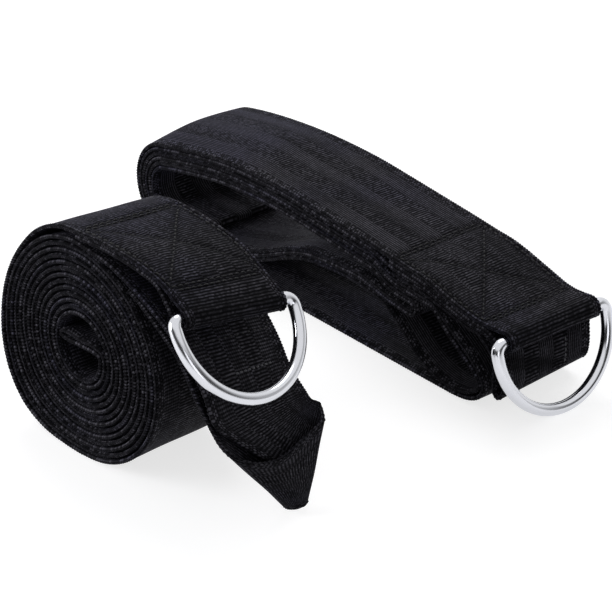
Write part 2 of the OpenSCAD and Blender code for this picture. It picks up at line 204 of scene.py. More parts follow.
def arc(centre, r, start, step, stop):
    a = np.radians(np.arange(start, stop + 1e-6 * np.sign(step), step))
    return np.column_stack([centre[0] + r * np.cos(a), centre[1] + r * np.sin(a)])


def directions(rows):
    """Unit vectors at each row: along the strap, out of its face, and across it."""
    p = rows.reshape(-1, 2, 3)
    mid = p.mean(1)
    along = np.empty_like(mid)
    along[1:-1] = mid[2:] - mid[:-2]
    along[0], along[-1] = mid[1] - mid[0], mid[-1] - mid[-2]
    along /= np.linalg.norm(along, axis=1)[:, None]
    across = p[:, 1] - p[:, 0]
    across /= np.linalg.norm(across, axis=1)[:, None]
    face = np.cross(along, across)
    face /= np.linalg.norm(face, axis=1)[:, None]
    return along, face, across


def shifted(rows, d):
    face = directions(rows)[1] * d
    return rows + np.hstack([face, face])


# ---- the rolled strap

ROLL_R = 47.6
CORE_R = 14.0
ROLL_PITCH = WEB_T + 0.85
ROLL_TAPER = 0.05
HEM_LIFT = 1.8
HEM_LIFT_ANGLES = (95, 150)
STAND_GAP = 0.05
ROLL_OUT = ROLL_R - WEB_T / 2
ROLL_Z = ROLL_OUT - ROLL_PITCH + WEB_T / 2 + STAND_GAP
ROLL_TOP = ROLL_Z + ROLL_OUT
TURNS = round((ROLL_OUT - CORE_R) / (2 * ROLL_PITCH) + 0.25)
ROLL_IN = ROLL_OUT - 2 * ROLL_PITCH * (TURNS - 0.25)
CORE_BEND_R = 4.4
ROLL_SAG = 7.6
SAG_ANGLES = ((165, 222), (222, 268))
ROLL_SHOULDER = 1.3
SHOULDER_ANGLES = ((105, 140), (140, 178))


def coned(points):
    """[x, z] points as rows of the roll, whose far face is smaller by the taper."""
    return straight(points, 1 - ROLL_TAPER)


def slump(a, r):
    """How far a ply sags out at the roll's lower left and is pressed in at its upper left."""
    b = a % 360
    near_rim = np.maximum(0, (r - CORE_R) / (ROLL_OUT - CORE_R)) ** 3
    return near_rim * (ROLL_SAG * hump(*SAG_ANGLES, b)
                       - ROLL_SHOULDER * hump(*SHOULDER_ANGLES, b))


def spiral(inset, lift):
    """Radius falls evenly with the angle, and the first stretch is lifted by the hem under it."""
    a = np.arange(90, 360 * TURNS + 1, 15.0)
    r = ROLL_OUT - inset - ROLL_PITCH * (a - 90) / 180
    r = r + slump(a, r) + lift * (1 - ease(*HEM_LIFT_ANGLES, a))
    t = np.radians(a)
    return np.column_stack([r * np.cos(t), ROLL_Z + r * np.sin(t)])


def rolled_rows():
    """Rows from the hem's end round the ring, into the roll and out to the sewn eye."""
    out_ply, in_ply = spiral(0, HEM_LIFT), spiral(ROLL_PITCH, 0)
    core_z = ROLL_Z + CORE_BEND_R
    core_fold_x = ROLL_IN - 1.5 * WEB_T - ROLL_PITCH / 2
    right = [ROLL_IN - CORE_BEND_R, ROLL_Z]
    core = np.vstack([
        arc(right, CORE_BEND_R, 18, 18, 90), [[0, core_z]],
        arc([-core_fold_x, core_z - ROLL_PITCH / 2], ROLL_PITCH / 2, 90, 30, 270),
        [[0, core_z - ROLL_PITCH]], arc(right, CORE_BEND_R - ROLL_PITCH, 90, -18, 18)])
    fall = WEB_W / 2 * math.sin(math.radians(ROLL_BAR_FALL))
    loop = straight(arc([ROLL_BAR[0], ROLL_BAR[2]], LOOP_R, -130, 19, 60))
    loop[:, 2] += fall
    loop[:, 5] -= fall
    top = ROLL_TOP
    tail = between(np.vstack([loop[-1:], placed([
        [47.5, 0, top - 1.2, 45.5, 1, top - 10.6],
        [33, 0, top + 1.8, 31, 1, top - 6],
        [16, 0, top + 2.6, 14, 1, top - 3.4]]), coned(out_ply)[:1]]), 4)
    hem = shifted(np.vstack([tail, coned(out_ply)[:2]]), HEM_PITCH)[4:-1][::-1]
    eye = placed([
        [18, 0, top - 4.6, 17, 1, top - 10],
        [36, 0, top - 11, 33.5, 1, top - 18.2],
        [51.5, 0, top - 19.5, 47, 1, top - 30],
        [62, -0.01, 64.5, 54.5, 1, 53.5],
        [70.6, -0.02, 57, 59.3, 1, 46],
        [74.8, 0, 46, 64, 1.02, 39.5],
        [75.8, 0.1, 39.5, 66, 1.08, 34],
        [76.8, 0.29, 30.5, 67.1, 1.14, 31],
        [78, 0.5, 20, 67.9, 1.184, 29.6],
        [78.7, 0.65, 10.5, 68.3, 1.212, 28.9],
        [80.6, 0.74, 5.3, 70.4, 1.23, 27.9],
        [83.4, 0.732, 2.9, 74.4, 1.131, 27.4],
        [84.3, 0.695, 2, 76.9, 0.903, 26.4],
        [84, 0.66, 1.8, 80, 0.66, 25],
        [83.6, 0.632, 1.7, 82, 0.47, 25.2],
        [82.6, 0.608, 1.7, 82.4, 0.27, 28],
        [80.6, 0.592, 2, 80.4, 0.112, 32],
        [78.4, 0.612, 3.2, 76.4, 0.048, 36.4],
        [76.4, 0.68, 6.4, 73, 0.028, 40.6],
        [73.6, 0.79, 13.2, 70.4, 0.016, 44.4],
        [70.6, 0.89, 20.5, 68.6, 0.006, 47.2],
        [66, 1.02, 31, 66, 0, 50.8],
        [59.3, 1.03, 41.6, 61.5, 0, 57.5],
        [53, 1, 49.8, 56, 0, 64.6],
        [45.4, 1, top - 32.8, 49.5, 0, top - 22.6],
        [33, 1, top - 20.5, 35.5, 0, top - 13.6],
        [27, 1, top - 16.6, 29, 0, top - 10.8]])
    eye = drawn_corner(smooth(np.vstack([coned(in_ply)[:1], eye]), 3)[1:])
    rows = [hem, loop, tail, coned(out_ply), coned(core), coned(in_ply[::-1]), eye]
    marks = np.cumsum([len(r) for r in rows])
    rows = gathered(np.vstack(rows), marks[0], marks[1])
    return rows, {"bar": marks[0], "tail": marks[1], "out": marks[2], "eye": marks[5]}


# ---- the folded strap

FOLD_LEN = 229.0
FOLD_R = 20.4
CREST_Z = 51.2
FOLD_PITCH = WEB_T + 0.45
FOLD_FAR_LIFT = 0.06
FAR_LIFT_SPAN = (-215, -160)
PRESSED_SPAN = (-46, -30)
HEM_END_SPAN = (-76, -66)
LOW_PLY_START = 0.45
LOW_PLY_DROP = (-84, -66)
LEFT_X = -FOLD_LEN + FOLD_R
LEFT_Z = FOLD_R + WEB_T / 2
LEFT_TOP = LEFT_Z + FOLD_R + WEB_T / 2
RING_END_Z = FOLD_BAR_Z + LOOP_R + WEB_T / 2
FLOOR_Z = WEB_T / 2
NEXT_FLOOR_Z = FLOOR_Z + FOLD_PITCH
TOP_KNOTS = smooth([
    [LEFT_X - 3.4, LEFT_TOP - 0.7], [LEFT_X + 8.6, LEFT_TOP + 2.2], [LEFT_X + 23.6, LEFT_TOP + 5.2],
    [LEFT_X + 41.6, CREST_Z - 0.9], [LEFT_X + 60.6, CREST_Z], [-126, CREST_Z - 0.3],
    [-105, CREST_Z - 1.9], [-88, CREST_Z - 3.3], [-70, CREST_Z - 4.8], [-58, CREST_Z - 6],
    [-45, RING_END_Z + 5], [-33, RING_END_Z + 2], [-22, RING_END_Z - 0.2],
    [-12, RING_END_Z - 0.9], [0, RING_END_Z + 0.1]], 8)
LOW_KNOTS = smooth([
    [LEFT_X - 3.4, WEB_T + 0.5], [-190, WEB_T + 0.5], [-178, WEB_T + 1.4], [-166, 5.8],
    [-155, 8.8], [-145, 12], [-136, 16.2], [-127, 20.2], [-116, 23.6], [-101, 25.4], [-83, 26],
    [-70, 25], [-58, 24], [-44, 22.6], [-34, 21]], 8)


def top_ply(xs, n, hems):
    """Ply n of the top stack, counted down, with hems plies of hem above it near the ring."""
    xs = np.asarray(xs, float)
    pitch = mix(FOLD_PITCH, HEM_PITCH, ease(*PRESSED_SPAN, xs))
    level = np.interp(xs, TOP_KNOTS[:, 0], TOP_KNOTS[:, 1])
    count = n + hems * ease(*HEM_END_SPAN, xs)
    return np.column_stack([xs, level - WEB_T / 2 - pitch * count])


def low_ply(xs, n):
    """Ply n of the lower stack, counted up from its underside."""
    xs = np.asarray(xs, float)
    level = np.interp(xs, LOW_KNOTS[:, 0], LOW_KNOTS[:, 1])
    count = n + LOW_PLY_START - ease(*LOW_PLY_DROP, xs)
    return np.column_stack([xs, level + FOLD_PITCH * count])


def left_bend(n):
    return arc([LEFT_X, LEFT_Z], FOLD_R - FOLD_PITCH * n, 97, 12, 263)


def right_bend(low, high):
    return arc([low[0], (low[1] + high[1]) / 2], (high[1] - low[1]) / 2, -72, 18, 72)


def folded_rows():
    """Rows from the hem's end round the ring, through the bundle and back to the sewn eye."""
    left_in = LEFT_X + 10.6
    hem_xs = [-5, -10, -16, -24, -32, -40, -48, -56, -64, -69, -74, -84, -96, -110, -125, -140,
              -155, -170, -185, left_in]
    eye_xs = [-12] + hem_xs[2:]
    stack_xs, inner_stack_xs = hem_xs[5:], hem_xs[7:]
    rise_xs = [left_in + 2, -186, -176, -166, -156, -148, -140, -132, -124, -116, -106, -94, -84]
    low_xs = rise_xs + [-74, -66, -60, -54]
    inner_xs = [left_in - 2, left_in + 5, left_in + 11]
    floor_ply = [[x, FLOOR_Z] for x in (left_in - 2, -160, -120, -80, -50, -36)]
    floor_turn = between(np.vstack([floor_ply[-1:], [
        [-27, FLOOR_Z + 0.12], [-19.5, 2.1], [-13.8, 5.2], [-11.6, 10.2], [-14.2, 15.6],
        [-20.5, 21.2], [-29, 27]], top_ply(stack_xs, 2, 2)[:1]]), 5)
    slope = np.vstack([low_ply(rise_xs[:12], 0), [[-76, 25.2], [-69, 23.6]]])
    next_turn = between(np.vstack([[
        [-64, 20.5], [-57, 15.2], [-49.5, 9], [-40, 4.6], [-30, NEXT_FLOOR_Z], [-21.5, 4.1],
        [-15.8, 6.9], [-13.5, 10.3], [-16.2, 14.2], [-22.8, 18.9], [-31.2, 24.8]],
        top_ply(stack_xs, 3, 2)[:1]]), 5)
    mid_low = np.array([[x, LEFT_Z - FOLD_R + FOLD_PITCH * 4] for x in inner_xs])
    mid_high = mid_low + [0, FOLD_PITCH]
    low_two, low_three = low_ply(low_xs, 1), low_ply(low_xs, 2)
    top_five, top_six = top_ply(inner_stack_xs, 4, 2), top_ply(inner_stack_xs, 5, 2)
    ring_half_strap = np.vstack([
        top_ply(hem_xs, 0, 0), left_bend(0), floor_ply, floor_turn, top_ply(stack_xs, 2, 2),
        left_bend(2), low_two, right_bend(low_two[-1], top_five[0]), top_five, left_bend(4),
        mid_low])
    eye_half_strap = np.vstack([
        top_ply(eye_xs, 1, 1), left_bend(1), slope, next_turn, top_ply(stack_xs, 3, 2),
        left_bend(3), low_three, right_bend(low_three[-1], top_six[0]), top_six, left_bend(5),
        mid_high])
    path = np.vstack([ring_half_strap, right_bend(mid_low[-1], mid_high[-1]),
                      eye_half_strap[::-1]])
    loop = arc([0, FOLD_BAR_Z], LOOP_R, -115, 18.6, 71)
    hem = np.vstack([top_ply([-66, -56, -48, -40, -32, -24, -16, -11], 1, 0),
                     [[-6, FOLD_BAR_Z - 1.2]]])
    bar_z = FOLD_BAR_Z
    eye_top, eye_low = top_ply([-12], 1, 1)[0, 1], top_ply([-14], 2, 1)[0, 1]
    eye = between(placed([
        [-12, 0, eye_top, -12, 1, eye_top],
        [-7, 0, bar_z - 2.9, -7, 1, bar_z - 2.9],
        [-2.6, 0, bar_z - 5.7, -2.5, 0.95, bar_z - 5.7],
        [0.4, -0.01, 24.7, 1.5, 0.88, 25.2],
        [1.2, -0.01, 18.5, 3.7, 0.835, 21.3],
        [0.2, -0.02, 12.5, 3.4, 0.82, 18],
        [-2.6, -0.02, 9.8, 1.2, 0.82, 15.8],
        [-5.2, -0.01, 11.6, -1.8, 0.83, 17.2],
        [-5.8, 0, 17, -3.8, 0.87, 20.8],
        [-6.2, 0, 23, -5.2, 0.94, 24.4],
        [-8.6, 0, 28, -8.4, 1, 28],
        [-14, 0, eye_low, -14, 1, eye_low]]), 4)
    eye_hem = top_ply([-14, -20, -26, -33, -40, -48, -56, -64], 2, 1)
    rows = [straight(hem), straight(loop), straight(path), eye, straight(eye_hem)]
    marks = np.cumsum([len(r) for r in rows])
    rows = gathered(np.vstack(rows), marks[0], marks[1])
    rows[:, 5] *= 1 + FOLD_FAR_LIFT * (1 - ease(*FAR_LIFT_SPAN, rows[:, 3]))
    return rows, {"bar": marks[0], "tail": marks[1], "eye": marks[2]}


# ---- soft forms laid over the rows

HEM_GATHER = 2.6
GATHER_REACH = 26
CORNER_DRAW = (-1.5, -4.0, 1.5)
CORNER_ACROSS = (51, 61)
CORNER_TOP = (30, 46)
CORNER_FOOT = (8, 22)


def gathered(rows, start, stop):
    """The webbing is drawn together on its far side where it passes round the ring's bar."""
    out = rows.copy()
    mid = rows.reshape(-1, 2, 3).mean(1)
    s = np.r_[0, np.cumsum(np.linalg.norm(np.diff(mid, axis=0), axis=1))]
    away = np.maximum(0, np.maximum(s[start] - s, s - s[stop]))
    pull = HEM_GATHER / WEB_W * (1 - ease(0, GATHER_REACH, away))[:, None]
    out[:, 3:] = mix(rows[:, 3:], rows[:, :3], pull)
    return out


def drawn_corner(rows):
    """The far corner of the rolled strap's eye, drawn in towards the roll by a smooth field."""
    out = rows.copy()
    far = rows[:, 3:]
    near_top, above_foot = ease(*CORNER_TOP, far[:, 2]), ease(*CORNER_FOOT, far[:, 2])
    share = ease(*CORNER_ACROSS, far[:, 1]) * (1 - near_top) * above_foot
    out[:, 3:] = far + share[:, None] * np.array(CORNER_DRAW)
    return out


# ---- places along a strap and on its faces

TABLE_GAP = 0.02
SAME_ROW = 0.05
FACE_STEP = 0.6


class Strap:
    """A strap's rows with their lengths along it, and the places on its faces."""

    def __init__(self, rows, origin, turn):
        world = (turned(rows.reshape(-1, 3), turn) + origin).reshape(-1, 6)
        keep = np.r_[True, np.linalg.norm(np.diff(world, axis=0), axis=1) > SAME_ROW]
        mid = world.reshape(-1, 2, 3).mean(1)
        self.row_s = np.r_[0, np.cumsum(np.linalg.norm(np.diff(mid, axis=0), axis=1))]
        self.knots, self.knot_s = world[keep], self.row_s[keep]
        self.length = self.row_s[-1]

    def rows_at(self, s):
        """Rows at any places along the strap: a cubic through the knots with chord-length steps."""
        p, k = self.knots, self.knot_s
        h = np.diff(k)[:, None]
        slope = np.diff(p, axis=0) / h
        m = np.empty_like(p)
        m[1:-1] = (slope[:-1] * h[1:] + slope[1:] * h[:-1]) / (h[1:] + h[:-1])
        m[0], m[-1] = slope[0], slope[-1]
        s = np.clip(np.asarray(s, float), 0, self.length)
        i = np.clip(np.searchsorted(k, s, side="right") - 1, 0, len(k) - 2)
        t = ((s - k[i]) / h[i, 0])[:, None]
        return ((2 * t**3 - 3 * t**2 + 1) * p[i] + (t**3 - 2 * t**2 + t) * h[i] * m[i]
                + (3 * t**2 - 2 * t**3) * p[i + 1] + (t**3 - t**2) * h[i] * m[i + 1])

    def on_face(self, s, v, height):
        """Places on the strap at length s and share v across, raised along the face by height."""
        s, v, height = np.broadcast_arrays(*(np.asarray(a, float) for a in (s, v, height)))
        before, p, after = (self.rows_at(s.ravel() + step).reshape(-1, 2, 3)
                            for step in (-FACE_STEP, 0, FACE_STEP))
        across = p[:, 1] - p[:, 0]
        face = np.cross(after.mean(1) - before.mean(1), across)
        face /= np.linalg.norm(face, axis=1)[:, None]
        point = p[:, 0] + across * v.ravel()[:, None] + face * height.ravel()[:, None]
        point[:, 2] = np.maximum(point[:, 2], TABLE_GAP)
        return point.reshape(*s.shape, 3)


# ---- sewn rows, as [s, v] lines on the strap: s runs along it and v across it, both in millimetres

SEAM_INSET = 3.0
CROSS_INSET = SEAM_INSET + 2
CROSS_MARGIN = 0.06
END_SHIFT = 2
CREASE_PLACES = (-1.4, 2.0, 5.2)
CREASE_ENDS = 1.5
CREASE_SKEW = 0.7
SEAM_DENT_W = 1.5
SEAM_DENT = 0.55
EYE_FOLD_FROM = (-93.0, -89.5)
EYE_FOLD_START = 1.0
EYE_FOLD_TO = (-83.0, 32.0)
EYE_FOLD_W = 1.9
EYE_FOLD_DENT = 1.0


def sewn_box(s0, s1):
    """The four sides of a sewn box between s0 and s1."""
    near, far = SEAM_INSET, WEB_W - SEAM_INSET
    return [((s0, near), (s1, near)), ((s0, far), (s1, far)),
            ((s0, near), (s0, far)), ((s1, near), (s1, far))]


def sewn_cross(s0, s1):
    a, b = mix(s0, s1, CROSS_MARGIN), mix(s1, s0, CROSS_MARGIN)
    near, far = CROSS_INSET, WEB_W - CROSS_INSET
    return [((a, near), (b, far)), ((a, far), (b, near))]


def sewn_ends(s0, s1):
    near, far = CROSS_INSET, WEB_W - CROSS_INSET
    return [((s, near), (s, far)) for s in (s0 - END_SHIFT, s1 + END_SHIFT)]


def eye_folds(end_s):
    """The fold across the folded strap's eye: two creases, which start apart and meet."""
    to_s, to_v = EYE_FOLD_TO
    return [((end_s + at, EYE_FOLD_START), (end_s + to_s, to_v)) for at in EYE_FOLD_FROM]


def creases(bar_s):
    """Creases across the webbing where it turns round the ring's bar."""
    return [((bar_s + at, CREASE_ENDS), (bar_s + at + CREASE_SKEW, WEB_W - CREASE_ENDS))
            for at in CREASE_PLACES]


def seam_depth(s, v, lines, width=SEAM_DENT_W):
    """How near each place lies to a sewn line or crease: 1 on it, a bell curve away from it."""
    depth = np.zeros(np.broadcast(s, v).shape)
    for a, b in lines:
        a, b = np.array(a), np.array(b)
        d = b - a
        t = np.clip(((s - a[0]) * d[0] + (v - a[1]) * d[1]) / (d @ d), 0, 1)
        gap = np.hypot(s - a[0] - t * d[0], v - a[1] - t * d[1])
        depth = np.maximum(depth, np.exp(-(gap / width) ** 2))
    return depth


# ---- meshes

def new_mesh(name, points, faces, uv, material):
    """A mesh object from points in millimetres and faces, with a UV pair for each point or none."""
    mesh = bpy.data.meshes.new(name)
    mesh.from_pydata((np.asarray(points) * M).tolist(), [], faces)
    mesh.polygons.foreach_set("use_smooth", np.ones(len(mesh.polygons), bool))
    if uv is not None:
        loops = np.empty(len(mesh.loops), int)
        mesh.loops.foreach_get("vertex_index", loops)
        layer = mesh.uv_layers.new(name="weave")
        layer.data.foreach_set("uv", np.asarray(uv, np.float32)[loops].ravel())
    mesh.materials.append(material)
    obj = bpy.data.objects.new(name, mesh)
    bpy.context.scene.collection.objects.link(obj)
    mesh.update()
    return obj


def tube_quads(n, m, joined=False):
    """Quads of a tube of n rings of m points each, its last ring joined to its first if asked."""
    i, k = np.meshgrid(np.arange(n if joined else n - 1), np.arange(m), indexing="ij")
    here, ahead, turn = i * m, (i + 1) % n * m, (k + 1) % m
    return np.stack([here + k, here + turn, ahead + turn, ahead + k], -1).reshape(-1, 4)


def tube_faces(n, m, start=0, flipped=False):
    """Faces of a tube with both ends shut, each turned over if flipped."""
    ends = [np.arange(m)[::-1], np.arange(m) + (n - 1) * m]
    faces = (tube_quads(n, m) + start).tolist() + [(end + start).tolist() for end in ends]
    return [face[::-1] for face in faces] if flipped else faces


SELVAGE_W = 1.25
ACROSS_POINTS = 45
BODY_START = 0.7 * SELVAGE_W
CLOSER_AT_EDGES = 0.3
FINE_STEP = 0.95
LONG_STEP = 5.0
CHORD_GAP = 0.053
STEPS_PER_MM = 2
BEND_SPAN = 4
FACE_INSET = 0.06
DENT_RIPPLE = 0.2
BENT_REACH = 13.0
BENT_FADE = 4
# length over which the painted violet sheen fades in and out
PAINTED_SHEEN_FADE = 12
HEM_FADE = 6


def body_profile():
    """Places across the strap, a little closer together towards its two selvages."""
    even = np.linspace(0, 1, ACROSS_POINTS)
    close = (1 - np.cos(even * np.pi)) / 2
    return BODY_START + (WEB_W - 2 * BODY_START) * mix(even, close, CLOSER_AT_EDGES)


def body_steps(strap):
    """Places along the strap: a step that keeps the chord near the curve, and short where sewn."""
    s = np.linspace(0, strap.length, int(strap.length * STEPS_PER_MM) + 1)
    radius = np.full(len(s), 1e3)
    inner = slice(BEND_SPAN, -BEND_SPAN)
    for edge in strap.rows_at(s).reshape(-1, 2, 3).transpose(1, 0, 2):
        second = edge[:-2 * BEND_SPAN] - 2 * edge[inner] + edge[2 * BEND_SPAN:]
        bend = np.linalg.norm(second, axis=1) / (BEND_SPAN / STEPS_PER_MM) ** 2
        radius[inner] = np.minimum(radius[inner], 1 / np.maximum(bend, 1e-3))
    step = np.clip(np.sqrt(8 * CHORD_GAP * radius), FINE_STEP, LONG_STEP)
    for a, b in strap.fine:
        step[(s > a) & (s < b)] = FINE_STEP
    need = np.r_[0, np.cumsum(np.diff(s) / step[1:])]
    return np.interp(np.linspace(0, need[-1], int(need[-1]) + 1), need, s)


def backed(front, back):
    """Values on the strap's one face, and then those on the other, from selvage to selvage."""
    return np.concatenate([front, back[:, ::-1]], axis=1)


def ribbon(name, strap, material):
    """The strap's cloth: two faces, each nearly half the cloth's thickness off its middle.

    The sewn face rises and falls in low waves and has a bell-shaped dent along every sewn row,
    which ripples with the stitches. The other face is dented only where the sewn eye folds.
    """
    grid_s, grid_v = np.meshgrid(body_steps(strap), body_profile(), indexing="ij")
    dent = seam_depth(grid_s, grid_v, strap.lines)
    ripple = np.cos((grid_s + grid_v) * 2 * np.pi / STITCH_PITCH)
    dent = dent * (1 - DENT_RIPPLE + DENT_RIPPLE * ripple)
    fold = seam_depth(grid_s, grid_v, strap.folds, EYE_FOLD_W)
    half = WEB_T / 2 - FACE_INSET
    seamed = half - SEAM_DENT * dent + strap.puff(grid_s, grid_v)
    plain = half - EYE_FOLD_DENT * fold
    ring = backed(strap.on_face(grid_s, grid_v / WEB_W, plain),
                  strap.on_face(grid_s, grid_v / WEB_W, HEM_SIDE * seamed))
    n, m = ring.shape[:2]
    s, v = backed(grid_s, grid_s), backed(grid_v, grid_v)
    uv = np.stack([s, v], -1).reshape(-1, 2) / WEB_W
    cloth = new_mesh(name, ring.reshape(-1, 3), tube_faces(n, m, flipped=True), uv, material)
    # stretches of the strap that carry the painted violet sheen
    painted_sheen_rise, painted_sheen_fall = ((at - PAINTED_SHEEN_FADE, at + PAINTED_SHEEN_FADE) for at in strap.haze)
    marks = {
        # the sewn mark also drives a painted shadow along seams, creases and the eye's fold
        "sewn": backed(np.maximum(dent, fold), dent),
        "bent": 1 - ease(BENT_REACH, BENT_REACH + BENT_FADE, np.abs(s - strap.bar_s)),
        "haze": hump(painted_sheen_rise, painted_sheen_fall, s),
        "hemmed": 1 - ease(strap.hem_end - HEM_FADE, strap.hem_end + HEM_FADE, s),
    }
    for label, values in marks.items():
        layer = cloth.data.attributes.new(label, "FLOAT", "POINT")
        layer.data.foreach_set("value", values.astype(np.float32).ravel())
    return cloth


SELVAGE_KNOT = 1.35
SELVAGE_SWELL = 0.22
SELVAGE_WANDER = 0.06
SELVAGE_WAVES = ((0.10, 0.91, 0, 0), (0.07, 2.3, 0, 1))
SELVAGE_REACH = 0.8 * SELVAGE_W
SELVAGE_MIDDLE = 0.75 * SELVAGE_W
SELVAGE_SHIFT = 0.1
SELVAGE_OVER = 0.02
SELVAGE_ROUND = 4
SELVAGE_POINTS = 8
KNOT_STEPS = 4


def selvage(name, strap, edge, material):
    """A woven edge: an oval cord whose surface swells into two staggered rows of knots.

    It grows and shrinks by the sine of the angle round it times the cosine of the length.
    """
    s = np.arange(0, strap.length, SELVAGE_KNOT / KNOT_STEPS)
    phi = np.arange(SELVAGE_POINTS) * 2 * np.pi / SELVAGE_POINTS
    grid_s, grid_phi = np.meshgrid(s, phi, indexing="ij")
    swell = np.sin(grid_phi) * np.cos(2 * np.pi * grid_s / SELVAGE_KNOT)
    wander = waves(SELVAGE_WAVES, grid_s)
    grow = 1 + SELVAGE_SWELL * swell + SELVAGE_WANDER * wander
    v = SELVAGE_MIDDLE - SELVAGE_SHIFT * wander - SELVAGE_REACH * grow * np.cos(grid_phi)
    if edge == "far":
        v = WEB_W - v
    height = (WEB_T / 2 + SELVAGE_OVER) * grow * np.sin(grid_phi)
    points = strap.on_face(grid_s, v / WEB_W, height)
    n, m = points.shape[:2]
    uv = np.stack([grid_s, grid_phi / (2 * np.pi) * SELVAGE_ROUND], -1) / WEB_W
    faces = tube_faces(n, m, flipped=edge == "near")
    return new_mesh(name, points.reshape(-1, 3), faces, uv.reshape(-1, 2), material)


STITCH_PITCH = 3.1
STITCH_LENGTH = 2.5
STITCH_SINK = 0.34
STITCH_LIFT = 0.1
STITCH_DIP = 0.42
STITCH_BLUNT = 0.97
STITCH_RINGS = 7
STITCH_POINTS = 8
THREAD_D = 0.75


def stitches(name, strap, lines, side, material, sink=STITCH_SINK, pitch=STITCH_PITCH):
    """Single stitches along sewn lines: each a small oval loaf whose ends dip into the cloth.

    A stitch is thin at both ends by the root of one less the fourth power of the place along
    it, and dips by the square of that place.
    """
    centres, heads = [], []
    for a, b in lines:
        a, b = np.array(a, float), np.array(b, float)
        length = np.hypot(*(b - a))
        count = max(2, round(length / pitch))
        t = (np.arange(count) + 0.5) / count
        centres.append(a + (b - a) * t[:, None])
        heads.append(np.tile((b - a) / length, (count, 1)))
    centres, heads = np.vstack(centres), np.vstack(heads)
    t = np.linspace(-1, 1, STITCH_RINGS)[:, None]
    phi = np.arange(STITCH_POINTS) * 2 * np.pi / STITCH_POINTS
    r = THREAD_D / 2 * np.sqrt(np.clip(1 - (STITCH_BLUNT * t) ** 4, 0, 1))
    wide = r * np.cos(phi)
    high = WEB_T / 2 - sink + STITCH_LIFT - STITCH_DIP * t**2 + r * np.sin(phi)
    along = STITCH_LENGTH / STITCH_PITCH * pitch / 2 * t + 0 * phi
    side_dir = np.column_stack([-heads[:, 1], heads[:, 0]])
    sv = (centres[:, None, None] + heads[:, None, None] * along[..., None]
          + side_dir[:, None, None] * wide[..., None])
    points = strap.on_face(sv[..., 0], sv[..., 1] / WEB_W, side * (high + 0 * sv[..., 0]))
    n, m = len(t), len(phi)
    faces = []
    for k in range(len(centres)):
        faces += tube_faces(n, m, k * n * m, flipped=side < 0)
    return new_mesh(name, points.reshape(-1, 3), faces, None, material)


RING_STEPS = 220
CORNER_STEPS = 9
BOW_STEPS = 61
WIRE_POINTS = 28


def ring_path():
    """The D-ring's middle line in its own plane: y along the bar, z towards the bow.

    A straight bar, a quarter circle and a short leg at each end, and a half circle for the bow.
    """
    straight_half = RING_HALF - RING_CORNER_R
    corner = np.radians(np.linspace(-90, 0, CORNER_STEPS))[1:-1]
    bow = np.radians(np.linspace(0, 180, BOW_STEPS))
    right = [[straight_half, 0]]
    right += [[straight_half + RING_CORNER_R * math.cos(a), RING_CORNER_R * (1 + math.sin(a))]
              for a in corner]
    right += [[RING_HALF, RING_CORNER_R]]
    arc_points = [[RING_HALF * math.cos(a), RING_LEG + RING_HALF * math.sin(a)] for a in bow]
    left = [[-y, z] for y, z in right[::-1]]
    path = np.array(right + arc_points + left)
    closed = np.vstack([path, path[:1]])
    reach = np.r_[0, np.cumsum(np.linalg.norm(np.diff(closed, axis=0), axis=1))]
    t = np.linspace(0, reach[-1], RING_STEPS, endpoint=False)
    return np.column_stack([np.interp(t, reach, closed[:, 0]), np.interp(t, reach, closed[:, 1])])


def d_ring(name, pin, bar, bow, material):
    """A circle swept along the D path: pin is the bar's middle, bar and bow its directions."""
    path = ring_path()
    ahead = np.roll(path, -1, 0) - np.roll(path, 1, 0)
    ahead /= np.linalg.norm(ahead, axis=1)[:, None]
    outward = np.column_stack([ahead[:, 1], -ahead[:, 0]])
    phi = np.arange(WIRE_POINTS) * 2 * np.pi / WIRE_POINTS
    flat = path[:, None] + WIRE_D / 2 * np.cos(phi)[None, :, None] * outward[:, None]
    raised = WIRE_D / 2 * np.sin(phi)[None, :] + 0 * flat[..., 0]
    normal = np.cross(bar, bow)
    points = pin + flat[..., :1] * bar + flat[..., 1:] * bow + raised[..., None] * normal
    quads = tube_quads(len(path), len(phi), joined=True).tolist()
    return new_mesh(name, points.reshape(-1, 3), quads, None, material)


# ---- materials

NODE_SETTINGS = {"operation", "data_type", "uv_map", "noise_dimensions", "attribute_name"}
WHITE = (1, 1, 1, 1)
STEEL_COLOUR = (0.66, 0.67, 0.71, 1)
SHEEN_TINT = (0.72, 0.7, 1.0, 1)
FLOOR_GLOW = 0.72
TWIST_SCALE = 2600.0
TWIST_DEPTH = 0.12
STREAK_DEPTH = 0.05

# noises are (scale, detail), and ramps are (start, stop) or (start, stop, low, high)
YARN_NOISE = (14.0, 2.0)
YARN_JITTER = 0.6
COLUMN_START = 3.5
COLUMN_RAMP = (-0.1, 0.1)
WARP_LOSS = 0.6
KNOT_ROW_W = 1.15
KNOT_LIGHT = (1.7, 0.35)
KNOT_WANDER = 1.2
KNOT_RAMP = (-0.1, 0.5)
GRAIN_NOISE = (62.0, 2.0)
GRAIN_DEPTH = 0.36
# noise for where the painted violet sheen lies
PAINTED_SHEEN_NOISE = (0.9, 1.0)
PAINTED_SHEEN_RAMP = (0.5, 0.68)
STREAK_NOISE = (1.0, 1.0)
STREAK_STRETCH = (0.7, 9.0)
STREAK_RAMP = (0.35, 0.65, 0.65, 1.3)
SHADE_POWER = 1.7
SEAM_SHADOW = 0.85
ROUGH_RAMP = (0.0, 1.0, 0.8, 0.45)


def add(tree, kind, **sockets):
    """A node with its sockets set: a value, or another node's output to link from."""
    node = tree.nodes.new(kind)
    for key in NODE_SETTINGS & sockets.keys():
        setattr(node, key, sockets.pop(key))
    for key, value in sockets.items():
        numbered = key[0] == "i" and key[1:].isdigit()
        socket = node.inputs[int(key[1:]) if numbered else key.replace("_", " ")]
        if isinstance(value, bpy.types.NodeSocket):
            tree.links.new(value, socket)
        else:
            socket.default_value = value
    return node


def calc(tree, operation, a, b=0.0, c=0.0):
    return add(tree, "ShaderNodeMath", operation=operation, i0=a, i1=b, i2=c).outputs[0]


